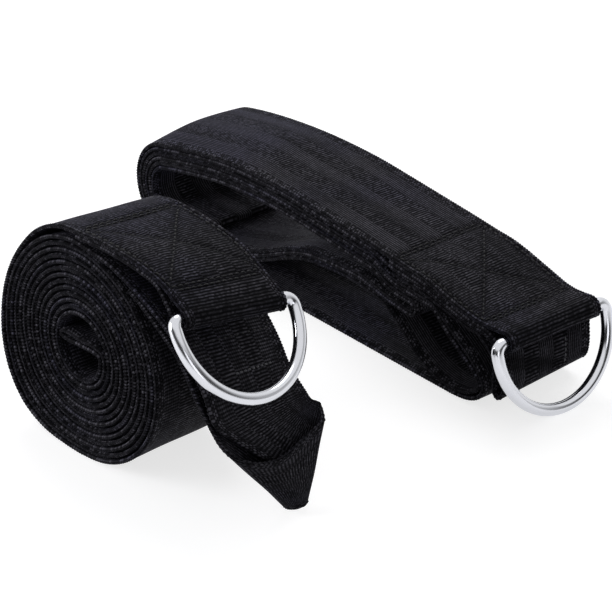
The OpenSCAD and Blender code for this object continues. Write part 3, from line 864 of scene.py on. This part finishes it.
def ramp(tree, value, start, stop, low=0.0, high=1.0):
    """A value carried evenly from low at start to high at stop, and held beyond them."""
    return add(tree, "ShaderNodeMapRange", Value=value, From_Min=start, From_Max=stop,
               To_Min=low, To_Max=high).outputs[0]


def noise(tree, place, scale, detail):
    return add(tree, "ShaderNodeTexNoise", Vector=place, Scale=scale, Detail=detail).outputs[0]


def painted(tree, label):
    """The mesh's own attribute of that name, from 0 to 1."""
    return add(tree, "ShaderNodeAttribute", attribute_name=label).outputs["Fac"]


def group(name, inputs, outputs):
    tree = bpy.data.node_groups.new(name, "ShaderNodeTree")
    for label, kind, default in inputs:
        socket = tree.interface.new_socket(name=label, in_out="INPUT", socket_type=kind)
        socket.default_value = default
    for label, kind in outputs:
        tree.interface.new_socket(name=label, in_out="OUTPUT", socket_type=kind)
    return tree, tree.nodes.new("NodeGroupInput"), tree.nodes.new("NodeGroupOutput")


def wave01(tree, turns):
    """A smooth wave from 0 to 1 that repeats once for each whole turn."""
    wave = calc(tree, "SINE", calc(tree, "MULTIPLY", turns, 2 * math.pi))
    return calc(tree, "MULTIPLY_ADD", wave, 0.5, 0.5)


def every_other(tree, turns):
    """0 and 1 by turns, for each whole turn."""
    return calc(tree, "FLOORED_MODULO", calc(tree, "FLOOR", turns), 2.0)


def cell_value(tree, turns, rows):
    """A random value for each cell of two whole-numbered counts."""
    cell = add(tree, "ShaderNodeCombineXYZ", i0=calc(tree, "FLOOR", turns),
               i1=calc(tree, "FLOOR", rows))
    return add(tree, "ShaderNodeTexWhiteNoise", noise_dimensions="2D",
               Vector=cell.outputs[0]).outputs["Value"]


def blend(tree, factor, first, second):
    """Two colours mixed by a factor."""
    return add(tree, "ShaderNodeMix", data_type="RGBA", i0=factor, i6=first,
               i7=second).outputs[2]


def weigh(tree, factor, first, second):
    """Two values mixed by a factor."""
    return add(tree, "ShaderNodeMix", i0=factor, i2=first, i3=second).outputs[0]


def seen_white(tree, path):
    """1 for what the camera, gloss or glass sees, and 0 for the light that falls on things."""
    seen = calc(tree, "MAXIMUM", path.outputs["Is Camera Ray"], path.outputs["Is Glossy Ray"])
    return calc(tree, "MAXIMUM", seen, path.outputs["Is Transmission Ray"])


def webbing_group():
    """Woven polyester, built up as a height from 0 to 1 that also drives painted shade.

    Ribs run across it in columns, each set half a rib off the next. Fine warp lines take their
    place in every other column, and rows of knots stand beside the selvages. Every crossing of
    yarns has its own brightness, and a slow noise and a mesh attribute lay a painted violet sheen
    over parts of it.
    """
    tree, inp, out = group("Woven webbing", [
        ("Rib Pitch", "NodeSocketFloat", 1.35), ("Warp Pitch", "NodeSocketFloat", 1.1),
        ("Column Width", "NodeSocketFloat", 8.3), ("Warp Share", "NodeSocketFloat", 0.4),
        ("Knot Pitch", "NodeSocketFloat", 1.35), ("Knot Band", "NodeSocketFloat", 3.6),
        ("Sparkle", "NodeSocketFloat", 0.65),
        ("Thread Color", "NodeSocketColor", (0.02, 0.02, 0.024, 1)),
        ("Haze Color", "NodeSocketColor", (0.03, 0.028, 0.045, 1)),
        ("Gap Color", "NodeSocketColor", (0.004, 0.004, 0.005, 1))],
        [("Color", "NodeSocketColor"), ("Roughness", "NodeSocketFloat"),
         ("Height", "NodeSocketFloat")])
    times, plus = partial(calc, tree, "MULTIPLY"), partial(calc, tree, "ADD")
    minus, over = partial(calc, tree, "SUBTRACT"), partial(calc, tree, "DIVIDE")
    times_plus, sine = partial(calc, tree, "MULTIPLY_ADD"), partial(calc, tree, "SINE")
    uv = add(tree, "ShaderNodeUVMap", uv_map="weave").outputs[0]
    along, across = add(tree, "ShaderNodeSeparateXYZ", i0=uv).outputs[:2]
    jitter = noise(tree, uv, *YARN_NOISE)
    s, v = plus(times(along, WEB_W), times(jitter, YARN_JITTER)), times(across, WEB_W)

    # ribs in columns, and warp lines in every other column
    columns = over(plus(v, -COLUMN_START), inp.outputs["Column Width"])
    loose = minus(1.0, painted(tree, "bent"))
    half_rib = times(every_other(tree, columns), 0.5)
    rib_turns = plus(over(s, inp.outputs["Rib Pitch"]), times(half_rib, loose))
    warp_turns = over(v, inp.outputs["Warp Pitch"])
    in_column = ramp(tree, sine(times(columns, math.pi)), *COLUMN_RAMP)
    warp = times(times(in_column, inp.outputs["Warp Share"]), loose)
    warp = times(warp, times_plus(painted(tree, "hemmed"), -WARP_LOSS, 1.0))
    weave = weigh(tree, warp, wave01(tree, rib_turns), wave01(tree, warp_turns))
    own = cell_value(tree, rib_turns, warp_turns)
    dim = times(minus(1.0, own), inp.outputs["Sparkle"])
    dim = times(dim, times_plus(warp, -WARP_LOSS, 1.0))
    weave = times(weave, minus(1.0, dim))

    # staggered knots beside the selvages
    knot_rows = over(v, KNOT_ROW_W)
    knot_turns = plus(over(s, inp.outputs["Knot Pitch"]), times(every_other(tree, knot_rows), 0.5))
    crown = [sine(times(calc(tree, "FRACT", turns), math.pi)) for turns in (knot_rows, knot_turns)]
    own = cell_value(tree, knot_turns, knot_rows)
    knot = times(times(*crown), times_plus(times(own, own), *KNOT_LIGHT))
    edge = minus(WEB_W / 2, calc(tree, "ABSOLUTE", minus(v, WEB_W / 2)))
    past = minus(inp.outputs["Knot Band"], plus(edge, times(jitter, -KNOT_WANDER)))
    height = weigh(tree, ramp(tree, past, *KNOT_RAMP), weave, knot)
    grain = times_plus(noise(tree, uv, *GRAIN_NOISE), GRAIN_DEPTH, -GRAIN_DEPTH / 2)
    height = calc(tree, "MAXIMUM", plus(height, grain), 0.0)

    # colour: painted shade by height, dark in the gaps and a painted highlight on the yarns,
    # long streaks, a painted violet sheen in places, and painted shadow along seams and creases
    patches = ramp(tree, noise(tree, uv, *PAINTED_SHEEN_NOISE), *PAINTED_SHEEN_RAMP)
    haze = calc(tree, "MAXIMUM", patches, painted(tree, "haze"))
    stretched = add(tree, "ShaderNodeCombineXYZ", i0=times(along, STREAK_STRETCH[0]),
                    i1=times(across, STREAK_STRETCH[1])).outputs[0]
    streak = ramp(tree, noise(tree, stretched, *STREAK_NOISE), *STREAK_RAMP)
    # painted shade and highlight: the gaps between yarns darkened, the raised yarns lightened
    shade = times(calc(tree, "POWER", height, SHADE_POWER), streak)
    # the yarns' colour, turned violet where the sheen is painted
    lit = blend(tree, haze, inp.outputs["Thread Color"], inp.outputs["Haze Color"])
    colour = blend(tree, shade, inp.outputs["Gap Color"], lit)
    # painted shadow in the seam dents and creases
    shadow = times(painted(tree, "sewn"), SEAM_SHADOW)
    colour = blend(tree, shadow, colour, inp.outputs["Gap Color"])
    for label, value in (("Color", colour), ("Height", height),
                         ("Roughness", ramp(tree, height, *ROUGH_RAMP))):
        tree.links.new(value, out.inputs[label])
    return tree


def metal_group():
    """Drawn and plated wire: a faint streak along it and a little unevenness of its gloss."""
    tree, inp, out = group("Plated wire", [
        ("Scale", "NodeSocketFloat", 90.0), ("Rough Low", "NodeSocketFloat", 0.12),
        ("Rough High", "NodeSocketFloat", 0.24)],
        [("Roughness", "NodeSocketFloat"), ("Height", "NodeSocketFloat")])
    place = add(tree, "ShaderNodeTexCoord").outputs["Object"]
    height = noise(tree, place, inp.outputs["Scale"], 3.0)
    rough = ramp(tree, height, 0.3, 0.7, inp.outputs["Rough Low"], inp.outputs["Rough High"])
    tree.links.new(rough, out.inputs["Roughness"])
    tree.links.new(height, out.inputs["Height"])
    return tree


def material(name):
    mat = bpy.data.materials.new(name)
    mat.use_nodes = True
    return mat, mat.node_tree, mat.node_tree.nodes["Principled BSDF"]


def effect(tree, node_group, **values):
    node = tree.nodes.new("ShaderNodeGroup")
    node.node_tree = node_group
    for key, value in values.items():
        node.inputs[key.replace("_", " ")].default_value = value
    return node


def bump(tree, shader, height, distance, strength=1.0):
    node = add(tree, "ShaderNodeBump", Strength=strength, Distance=distance, Height=height)
    tree.links.new(node.outputs[0], shader.inputs["Normal"])


def webbing_material(name, settings, warp_share, rib_pitch):
    """Black woven polyester with a cool sheen."""
    mat, tree, shader = material(name)
    # the sheen colour is a painted violet sheen in the base colour
    weave = effect(tree, NODE_GROUPS["weave"], Rib_Pitch=rib_pitch, Warp_Share=warp_share,
                   Thread_Color=(*settings.thread_colour, 1), Gap_Color=(*settings.gap_colour, 1),
                   Haze_Color=(*settings.painted_sheen_colour, 1))
    tree.links.new(weave.outputs["Color"], shader.inputs["Base Color"])
    tree.links.new(weave.outputs["Roughness"], shader.inputs["Roughness"])
    bump(tree, shader, weave.outputs["Height"], settings.weave_depth * M)
    shader.inputs["Specular IOR Level"].default_value = settings.gloss
    shader.inputs["Sheen Weight"].default_value = settings.sheen
    shader.inputs["Sheen Roughness"].default_value = 0.35
    shader.inputs["Sheen Tint"].default_value = SHEEN_TINT
    return mat


def thread_material(name, colour, gloss):
    """Sewing thread: fine twist along Object coordinates and a soft gloss."""
    mat, tree, shader = material(name)
    place = add(tree, "ShaderNodeTexCoord").outputs["Object"]
    bump(tree, shader, noise(tree, place, TWIST_SCALE, 1.0), TWIST_DEPTH * M)
    shader.inputs["Base Color"].default_value = (*colour, 1)
    shader.inputs["Roughness"].default_value = 0.42
    shader.inputs["Specular IOR Level"].default_value = gloss
    return mat


def steel_material():
    """Bright plated steel wire."""
    mat, tree, shader = material("plated steel")
    wire = effect(tree, NODE_GROUPS["wire"])
    tree.links.new(wire.outputs["Roughness"], shader.inputs["Roughness"])
    bump(tree, shader, wire.outputs["Height"], STREAK_DEPTH * M, 0.4)
    shader.inputs["Base Color"].default_value = STEEL_COLOUR
    shader.inputs["Metallic"].default_value = 1
    return mat


def pale_stage_material(name, colour):
    """White to the camera, to gloss and to glass, and a plain pale diffuse to everything else."""
    mat, tree, shader = material(name)
    output = tree.nodes["Material Output"]
    seen = seen_white(tree, add(tree, "ShaderNodeLightPath"))
    shader.inputs["Base Color"].default_value = colour
    shader.inputs["Roughness"].default_value = 0.9
    glow = add(tree, "ShaderNodeEmission", Color=WHITE,
               Strength=calc(tree, "MULTIPLY", seen, FLOOR_GLOW))
    both = add(tree, "ShaderNodeAddShader", i0=shader.outputs[0], i1=glow.outputs[0])
    tree.links.new(both.outputs[0], output.inputs["Surface"])
    return mat


# ---- the straps' own facts

HEM_SIDE = -1
BOX_L = 49
ROLL_SEAM_FROM_BAR = 8
ROLL_BOX_SHARE = 0.975
ROLL_EYE_BOX = (20, 57)
ROLL_EYE_ROWS = 11
# stretch of painted violet sheen on the rolled strap, from the hem's end
ROLL_PAINTED_SHEEN = (-18, 30)
FOLD_SEAM_FROM_BAR = 14
FOLD_EYE_BOX = (-14, -58)
FOLD_TOP_ROWS = 19
FOLD_LEFT_ROWS = 24
CROWN_X = -212
CROWN_SPAN = (-75, 20)
CROWN_RISE = 2.2
CROWN_FADES = (25, 12)
# stretch of painted violet sheen on the folded strap, from its left end
FOLD_PAINTED_SHEEN = (-55, 10)
PAST_HEM = 8
PAST_FOLD = 3
UNEVEN_WAVES = ((0.10, 0.115, 0.09, 0), (0.07, 0.31, -0.21, 1.3))
PUFF_RISE = 0.3
PUFF_ENDS = 6
PUFF_SIDES = 5


class SewnStrap(Strap):
    """A strap with its sewn lines, its soft forms and the stretches that need a fine mesh."""

    def __init__(self, rows, marks, origin, turn):
        super().__init__(rows, origin, turn)
        self.near_x = rows[:, 0]
        self.bar_s = (self.row_s[marks["bar"]] + self.row_s[marks["tail"]]) / 2
        self.folds = []
        self.crown = None

    def s_at(self, x, first, last):
        """Length along the strap where its near selvage reaches x, between two rows."""
        xs, s = self.near_x[first:last + 1], self.row_s[first:last + 1]
        order = np.argsort(xs)
        return float(np.interp(x, xs[order], s[order]))

    def sew(self, hem, eye):
        """The hem's box, cross and end rows, and the eye's box, each between two lengths."""
        self.hem, self.hem_end = hem, hem[1]
        self.box, self.cross, self.ends = sewn_box(*hem), sewn_cross(*hem), sewn_ends(*hem)
        self.eye = sewn_box(*eye)
        self.lines = self.box + self.cross + self.ends + creases(self.bar_s)

    def puff(self, s, v):
        """The cloth between sewn lines stands up a little, and the strap is never quite flat."""
        start, stop = self.hem
        from_end = np.minimum(s - start, stop - s)
        from_side = np.minimum(v - SEAM_INSET, WEB_W - SEAM_INSET - v)
        inside = np.clip(from_end / PUFF_ENDS, 0, 1) * np.clip(from_side / PUFF_SIDES, 0, 1)
        wave = waves(UNEVEN_WAVES, s, v) + PUFF_RISE * inside
        if self.crown is None:
            return wave
        a, b = self.crown
        over = hump((a, a + CROWN_FADES[0]), (b - CROWN_FADES[1], b), s)
        return wave + CROWN_RISE * over * np.sin(np.pi * v / WEB_W)


def make_rolled():
    rows, marks = rolled_rows()
    strap = SewnStrap(rows, marks, ROLL_ORIGIN, ROLL_TURN)
    seam_x = ROLL_BAR[0] - ROLL_SEAM_FROM_BAR
    hem = [strap.s_at(x, marks["tail"], marks["out"] + 1)
           for x in (seam_x, seam_x - BOX_L * ROLL_BOX_SHARE)]
    eye = [strap.s_at(x, marks["eye"], marks["eye"] + ROLL_EYE_ROWS) for x in ROLL_EYE_BOX]
    strap.sew(hem, eye)
    strap.fine = [(0, hem[1] + PAST_HEM), (eye[0], strap.length)]
    strap.haze = [hem[1] + at for at in ROLL_PAINTED_SHEEN]
    return strap


def make_folded():
    rows, marks = folded_rows()
    strap = SewnStrap(rows, marks, FOLD_ORIGIN, 0)
    tail, eye_at = marks["tail"], marks["eye"]
    hem = [strap.s_at(x, tail, tail + FOLD_TOP_ROWS)
           for x in (-FOLD_SEAM_FROM_BAR, -FOLD_SEAM_FROM_BAR - BOX_L)]
    eye = [strap.s_at(x, eye_at - FOLD_TOP_ROWS, eye_at - 1) for x in FOLD_EYE_BOX]
    strap.sew(hem, eye)
    strap.folds = eye_folds(strap.length)
    strap.fine = [(0, hem[1] + PAST_HEM),
                  (strap.length + min(EYE_FOLD_FROM) - PAST_FOLD, strap.length)]
    left = strap.s_at(CROWN_X, tail, tail + FOLD_LEFT_ROWS)
    strap.crown = [left + at for at in CROWN_SPAN]
    strap.haze = [left + at for at in FOLD_PAINTED_SHEEN]
    return strap


# ---- what the operators make, by name

NODE_GROUPS = {}
STRAPS = {}
RINGS = {}

# ---- from the image to the scene and back

EXTRA_STITCH_PITCH = 2.3
EXTRA_STITCH_SINK = 0.16
NEAREST_TRIES = 4
SEEN_ROWS = {"rolled": ("leg_stitches_left", "leg_stitches_right"),
             "folded": ("eye_stitches_top", "eye_stitches_bottom")}


def camera_place():
    return (Vector(CAMERA_PLACE) + Vector(FOLD_ORIGIN)) * M


def view_axes():
    """The camera's right, up and forward directions, from its azimuth and elevation."""
    az, el = CAMERA_AZIMUTH, CAMERA_ELEVATION
    right = Vector((math.cos(az), math.sin(az), 0))
    forward = Vector((-math.sin(az) * math.cos(el), math.cos(az) * math.cos(el), -math.sin(el)))
    return right, right.cross(forward), forward


def reach_of_lens():
    return max(IMAGE_W, IMAGE_H) * CAMERA_LENS / SENSOR_WIDTH


def on_image(places):
    """Where places, in metres, show in the image."""
    axes = np.array([tuple(axis) for axis in view_axes()])
    side, rise, ahead = ((np.atleast_2d(places) - np.array(camera_place())) @ axes.T).T
    return np.column_stack([IMAGE_W / 2 + reach_of_lens() * side / ahead,
                            IMAGE_H / 2 - reach_of_lens() * rise / ahead])


def under_point(point, carrier):
    """Where the ray through an image point meets the carrier, as length, width and side.

    A ray that misses takes the carrier's place nearest to it.
    """
    mesh = carrier.data
    verts = [v.co for v in mesh.vertices]
    tree = BVHTree.FromPolygons(verts, [tuple(f.vertices) for f in mesh.polygons])
    right, up, forward = view_axes()
    eye = camera_place()
    ray = (right * (point[0] - IMAGE_W / 2) + up * (IMAGE_H / 2 - point[1])
           + forward * reach_of_lens()).normalized()
    place, _, face, _ = tree.ray_cast(eye, ray)
    if place is None:
        place = Vector(fold_pin) * M
        for _ in range(NEAREST_TRIES):
            place, _, face, _ = tree.find_nearest(eye + ray * (place - eye).dot(ray))
    polygon = mesh.polygons[face]
    weights = poly_3d_calc([verts[i] for i in polygon.vertices], place)
    layer = mesh.uv_layers["weave"].data
    uv = sum((layer[k].uv * w for k, w in zip(polygon.loop_indices, weights)), Vector((0, 0)))
    side = 1 if polygon.vertices[0] % (2 * ACROSS_POINTS) < ACROSS_POINTS else -1
    return uv[0] * WEB_W, uv[1] * WEB_W, side


def seen_stitches(kind, thread):
    """A short row of light stitches between two image points on a strap's cloth."""
    cloth = bpy.data.objects[f"{kind}_cloth"]
    a, b = (under_point(POINTS[point], cloth) for point in SEEN_ROWS[kind])
    return stitches(f"{kind}_leg_stitches", STRAPS[kind], [(a[:2], b[:2])], a[2], thread,
                    EXTRA_STITCH_SINK, EXTRA_STITCH_PITCH)


def write_points(pieces):
    """Projects pieces, ring corners and bows, the roll's axis and the fold's end; keeps no result.
    """
    for obj in pieces:
        co = np.empty(len(obj.data.vertices) * 3)
        obj.data.vertices.foreach_get("co", co)
        on_image(co.reshape(-1, 3))
    for short, kind in (("roll", "rolled"), ("fold", "folded")):
        pin, bar, bow = RINGS[kind]
        on_image((pin + bow * (RING_LEG + RING_HALF)) * M)[0]
        for label, sign in (("near", -1), ("far", 1)):
            corner = pin + bar * RING_HALF * sign + bow * RING_CORNER_R
            on_image(corner * M)[0]
    on_image((ROLL_ORIGIN + np.array([0, 0, ROLL_Z])) * M)[0]
    on_image((FOLD_ORIGIN + np.array([LEFT_X - FOLD_R, 0, LEFT_Z])) * M)[0]


def dress(kind, strap, settings):
    """All the visible pieces of one strap, riding on its body."""
    body = f"{kind}_strap"
    share = settings.warp_share if kind == "folded" else settings.rolled_warp_share
    cloth = webbing_material(f"{kind} webbing", settings, share, settings.rib_pitch)
    thread = thread_material(f"{kind} thread", tuple(settings.stitch_colour), 0.15)
    web = ribbon(f"{kind}_cloth", strap, cloth)
    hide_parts(f"{kind}_webbing")
    trims = [selvage(f"{kind}_{edge}_selvage", strap, edge, cloth) for edge in ("near", "far")]
    for seam, lines, side in (("box", strap.box, HEM_SIDE), ("cross", strap.cross, HEM_SIDE),
                              ("end", strap.ends, HEM_SIDE), ("eye", strap.eye, -HEM_SIDE)):
        piece = stitches(f"{kind}_{seam}_stitches", strap, lines, side, thread)
        node = f"{kind}_{seam}_seams" if seam == "end" else f"{kind}_{seam}_seam"
        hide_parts(node)
        trims.append(piece)
    light = thread_material(f"{kind} light thread", tuple(settings.light_thread), 0.3)
    trims.append(seen_stitches(kind, light))
    for piece in [web] + trims:
        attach(piece, body)
    return web


# ---- settings, operators and panel

def colour_of(name, description, default):
    return bpy.props.FloatVectorProperty(
        name=name, description=description, default=default, size=len(default),
        subtype="COLOR", min=0, max=1)


def share_of(name, description, default):
    return bpy.props.FloatProperty(
        name=name, description=description, default=default, subtype="FACTOR", min=0, max=1)


def level_of(name, description, default):
    return bpy.props.FloatProperty(name=name, description=description, default=default)


class StrapSettings(bpy.types.PropertyGroup):
    """Sizes and colours of both straps' webbing."""

    rib_pitch: bpy.props.FloatProperty(
        name="Rib pitch", description="From rib to rib along the webbing, in millimetres",
        default=1.35, min=0.6, max=3)
    warp_share: share_of("Warp share", "How far the smooth bands hide the ribs", 0.85)
    rolled_warp_share: share_of("Rolled warp share", "The same, for the rolled strap", 0.3)
    weave_depth: bpy.props.FloatProperty(
        name="Weave depth", description="Depth of the weave, in millimetres", default=0.3,
        min=0, max=0.6)
    # thread and gap colours together paint a highlight on raised yarns and shade between them
    thread_colour: colour_of("Thread colour", "Colour of the raised yarns",
                             (0.068, 0.066, 0.079))
    gap_colour: colour_of("Gap colour", "Colour between the yarns", (0.0015, 0.0015, 0.002))
    # colour of the painted violet sheen on the raised yarns
    painted_sheen_colour: colour_of("Painted sheen colour", "Colour of the raised yarns where the sheen lies",
                           (0.057, 0.056, 0.083))
    stitch_colour: colour_of("Stitch colour", "Colour of the sewing thread",
                             (0.007, 0.007, 0.0085))
    light_thread: colour_of("Light thread", "Colour of the thread of the small light rows",
                            (0.05, 0.05, 0.058))
    gloss: share_of("Gloss", "Specular level of the yarns", 0.03)
    sheen: share_of("Sheen", "Weight of the cool sheen", 0.02)


class StageSettings(bpy.types.PropertyGroup):
    """Floor, lamps and sky."""

    floor_size: bpy.props.FloatProperty(
        name="Floor size", description="Side of the floor", default=8.0, unit="LENGTH")
    floor_colour: colour_of("Floor colour", "Plain pale floor", (0.42, 0.42, 0.425, 1))
    key_power: level_of("Key light", "Power of the big lamp above", 7.0)
    fill_power: level_of("Fill light", "Power of the lamp by the camera", 14.0)
    side_power: level_of("Side light", "Power of the lamp on the right", 1.5)
    sky: level_of("Sky", "Strength of the world's light", 0.45)


class SCENE_OT_shared_effects(bpy.types.Operator):
    """Make the node groups that the materials share"""

    bl_idname = "straps.shared_effects"
    bl_label = "Shared effects"

    def execute(self, context):
        NODE_GROUPS["weave"] = webbing_group()
        NODE_GROUPS["wire"] = metal_group()
        return {"FINISHED"}


class MESH_OT_rolled_strap(bpy.types.Operator):
    """Make the strap that is rolled up, with its selvages and stitches"""

    bl_idname = "straps.rolled_strap"
    bl_label = "Rolled strap"

    def execute(self, context):
        STRAPS["rolled"] = make_rolled()
        dress("rolled", STRAPS["rolled"], context.scene.strap_settings)
        return {"FINISHED"}


class MESH_OT_folded_strap(bpy.types.Operator):
    """Make the strap that is folded flat, with its selvages and stitches"""

    bl_idname = "straps.folded_strap"
    bl_label = "Folded strap"

    def execute(self, context):
        STRAPS["folded"] = make_folded()
        dress("folded", STRAPS["folded"], context.scene.strap_settings)
        return {"FINISHED"}


class MESH_OT_d_rings(bpy.types.Operator):
    """Make both D-rings, each on its own body"""

    bl_idname = "straps.d_rings"
    bl_label = "D-rings"

    def execute(self, context):
        steel = steel_material()
        tilt = math.radians(FOLD_RING_TILT)
        fall, out = math.radians(ROLL_BAR_FALL), math.radians(ROLL_RING_OUT)
        rings = {
            "folded": (fold_pin, np.array([0, 1.0, 0]),
                       np.array([math.sin(tilt), 0, -math.cos(tilt)])),
            "rolled": (roll_pin, turned([0, math.cos(fall), -math.sin(fall)], ROLL_TURN),
                       turned([math.sin(out), -math.cos(out) * math.sin(fall),
                               -math.cos(out) * math.cos(fall)], ROLL_TURN)),
        }
        RINGS.update(rings)
        for kind, (pin, bar, bow) in rings.items():
            ring = d_ring(f"{kind}_ring", pin, bar, bow, steel)
            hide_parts(f"{kind}_d_ring")
            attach(ring, f"{kind}_ring")
        return {"FINISHED"}


# each lamp's place from the object's middle, its width and its colour
LAMPS = {
    "key": ((-0.5, 0.45, 1.1), 0.9, (1, 0.99, 1)),
    "fill": ((-0.75, -1.0, 0.35), 0.7, (0.98, 0.98, 1)),
    "side": ((1.15, -0.5, 0.3), 0.6, (0.98, 0.98, 1)),
}
FLOOR_DROP = 0.0004
DARK_BAND_RISE = 0.27
DARK_BAND_REACH = (0.15, 0.33)
DARK_BAND_LEVEL = 0.04
DARK_SIDE = (-0.2, 0.4)


def area_light(name, middle, power):
    """A round lamp that looks at the object's middle, from its place in the table of lamps."""
    offset, size, colour = LAMPS[name]
    lamp = bpy.data.lights.new(name, "AREA")
    lamp.shape, lamp.size, lamp.energy, lamp.color = "DISK", size, power, colour
    obj = bpy.data.objects.new(name, lamp)
    obj.location = middle + Vector(offset)
    obj.rotation_euler = (middle - obj.location).to_track_quat("-Z", "Y").to_euler()
    bpy.context.scene.collection.objects.link(obj)


class SCENE_OT_stage(bpy.types.Operator):
    """Make the floor, the lamps, the world and the camera"""

    bl_idname = "straps.stage"
    bl_label = "Stage"

    def execute(self, context):
        settings = context.scene.stage_settings
        h = settings.floor_size / 2
        corners = np.array([[-h, -h, 0], [h, -h, 0], [h, h, 0], [-h, h, 0]]) / M
        pale = pale_stage_material("pale floor", settings.floor_colour)
        floor = new_mesh("floor", corners, [(0, 1, 2, 3)], None, pale)
        floor.data.transform(Matrix.Translation((0, 0, -FLOOR_DROP)))
        middle = (Vector(CAD_BOX[0]) + Vector(CAD_BOX[1])) / 2
        area_light("key", middle, settings.key_power)
        area_light("fill", middle, settings.fill_power)
        area_light("side", middle, settings.side_power)
        self.world(context, settings)
        self.camera(context)
        context.scene.view_settings.view_transform = "Standard"
        return {"FINISHED"}

    def world(self, context, settings):
        """White where the camera, gloss or glass sees it, and an even pale light elsewhere.

        Gloss also sees a dark band above the horizon, on the side that the camera is on, as in
        a photo studio.
        """
        world = bpy.data.worlds.new("studio")
        world.use_nodes = True
        tree = world.node_tree
        path = add(tree, "ShaderNodeLightPath")
        seen = seen_white(tree, path)
        direction = add(tree, "ShaderNodeTexCoord").outputs["Generated"]
        front = -view_axes()[2]
        facing = add(tree, "ShaderNodeVectorMath", operation="DOT_PRODUCT", i0=direction,
                     i1=front).outputs["Value"]
        rise = add(tree, "ShaderNodeSeparateXYZ", i0=direction).outputs[2]
        gap = calc(tree, "ABSOLUTE", calc(tree, "SUBTRACT", rise, DARK_BAND_RISE))
        band = ramp(tree, gap, *DARK_BAND_REACH, DARK_BAND_LEVEL, 1.0)
        behind = ramp(tree, facing, *DARK_SIDE, 1.0, 0.0)
        dark = calc(tree, "MAXIMUM", band, behind)
        dark = calc(tree, "MAXIMUM", dark, path.outputs["Is Camera Ray"])
        matt = calc(tree, "SUBTRACT", 1.0, path.outputs["Is Glossy Ray"])
        sky = calc(tree, "MULTIPLY", matt, settings.sky)
        strength = calc(tree, "MAXIMUM", calc(tree, "MULTIPLY", seen, dark), sky)
        tree.nodes["Background"].inputs["Color"].default_value = WHITE
        tree.links.new(strength, tree.nodes["Background"].inputs["Strength"])
        context.scene.world = world

    def camera(self, context):
        right, up, forward = view_axes()
        data = bpy.data.cameras.new("camera")
        data.lens, data.sensor_width, data.sensor_fit = CAMERA_LENS, SENSOR_WIDTH, "AUTO"
        data.clip_end = 20
        camera = bpy.data.objects.new("camera", data)
        camera.matrix_world = Matrix.Translation(camera_place()) @ Matrix(
            (right, up, -forward)).transposed().to_4x4()
        context.scene.collection.objects.link(camera)
        context.scene.camera = camera


class VIEW3D_PT_straps(bpy.types.Panel):
    """Lists the operators and their settings"""

    bl_label = "Stretching straps"
    bl_space_type = "VIEW_3D"
    bl_region_type = "UI"
    bl_category = "Straps"

    def draw(self, context):
        for operator in OPERATORS:
            self.layout.operator(operator.bl_idname)
        for settings in (context.scene.strap_settings, context.scene.stage_settings):
            box = self.layout.box()
            for name in settings.__annotations__:
                box.prop(settings, name)


OPERATORS = (SCENE_OT_shared_effects, MESH_OT_rolled_strap, MESH_OT_folded_strap,
             MESH_OT_d_rings, SCENE_OT_stage)
CLASSES = (StrapSettings, StageSettings, *OPERATORS, VIEW3D_PT_straps)


def register():
    for item in CLASSES:
        bpy.utils.register_class(item)
    bpy.types.Scene.strap_settings = bpy.props.PointerProperty(type=StrapSettings)
    bpy.types.Scene.stage_settings = bpy.props.PointerProperty(type=StageSettings)


def unregister():
    del bpy.types.Scene.stage_settings
    del bpy.types.Scene.strap_settings
    for item in reversed(CLASSES):
        bpy.utils.unregister_class(item)


def main():
    register()
    bpy.ops.straps.shared_effects()
    bpy.ops.straps.rolled_strap()
    bpy.ops.straps.folded_strap()
    bpy.ops.straps.d_rings()
    bpy.ops.straps.stage()
    write_points([obj for obj in bpy.data.objects if obj.name.split("_")[0] in STRAPS
                  and obj.name.endswith(("cloth", "selvage", "stitches", "ring"))])


if __name__ == "__main__":
    main()
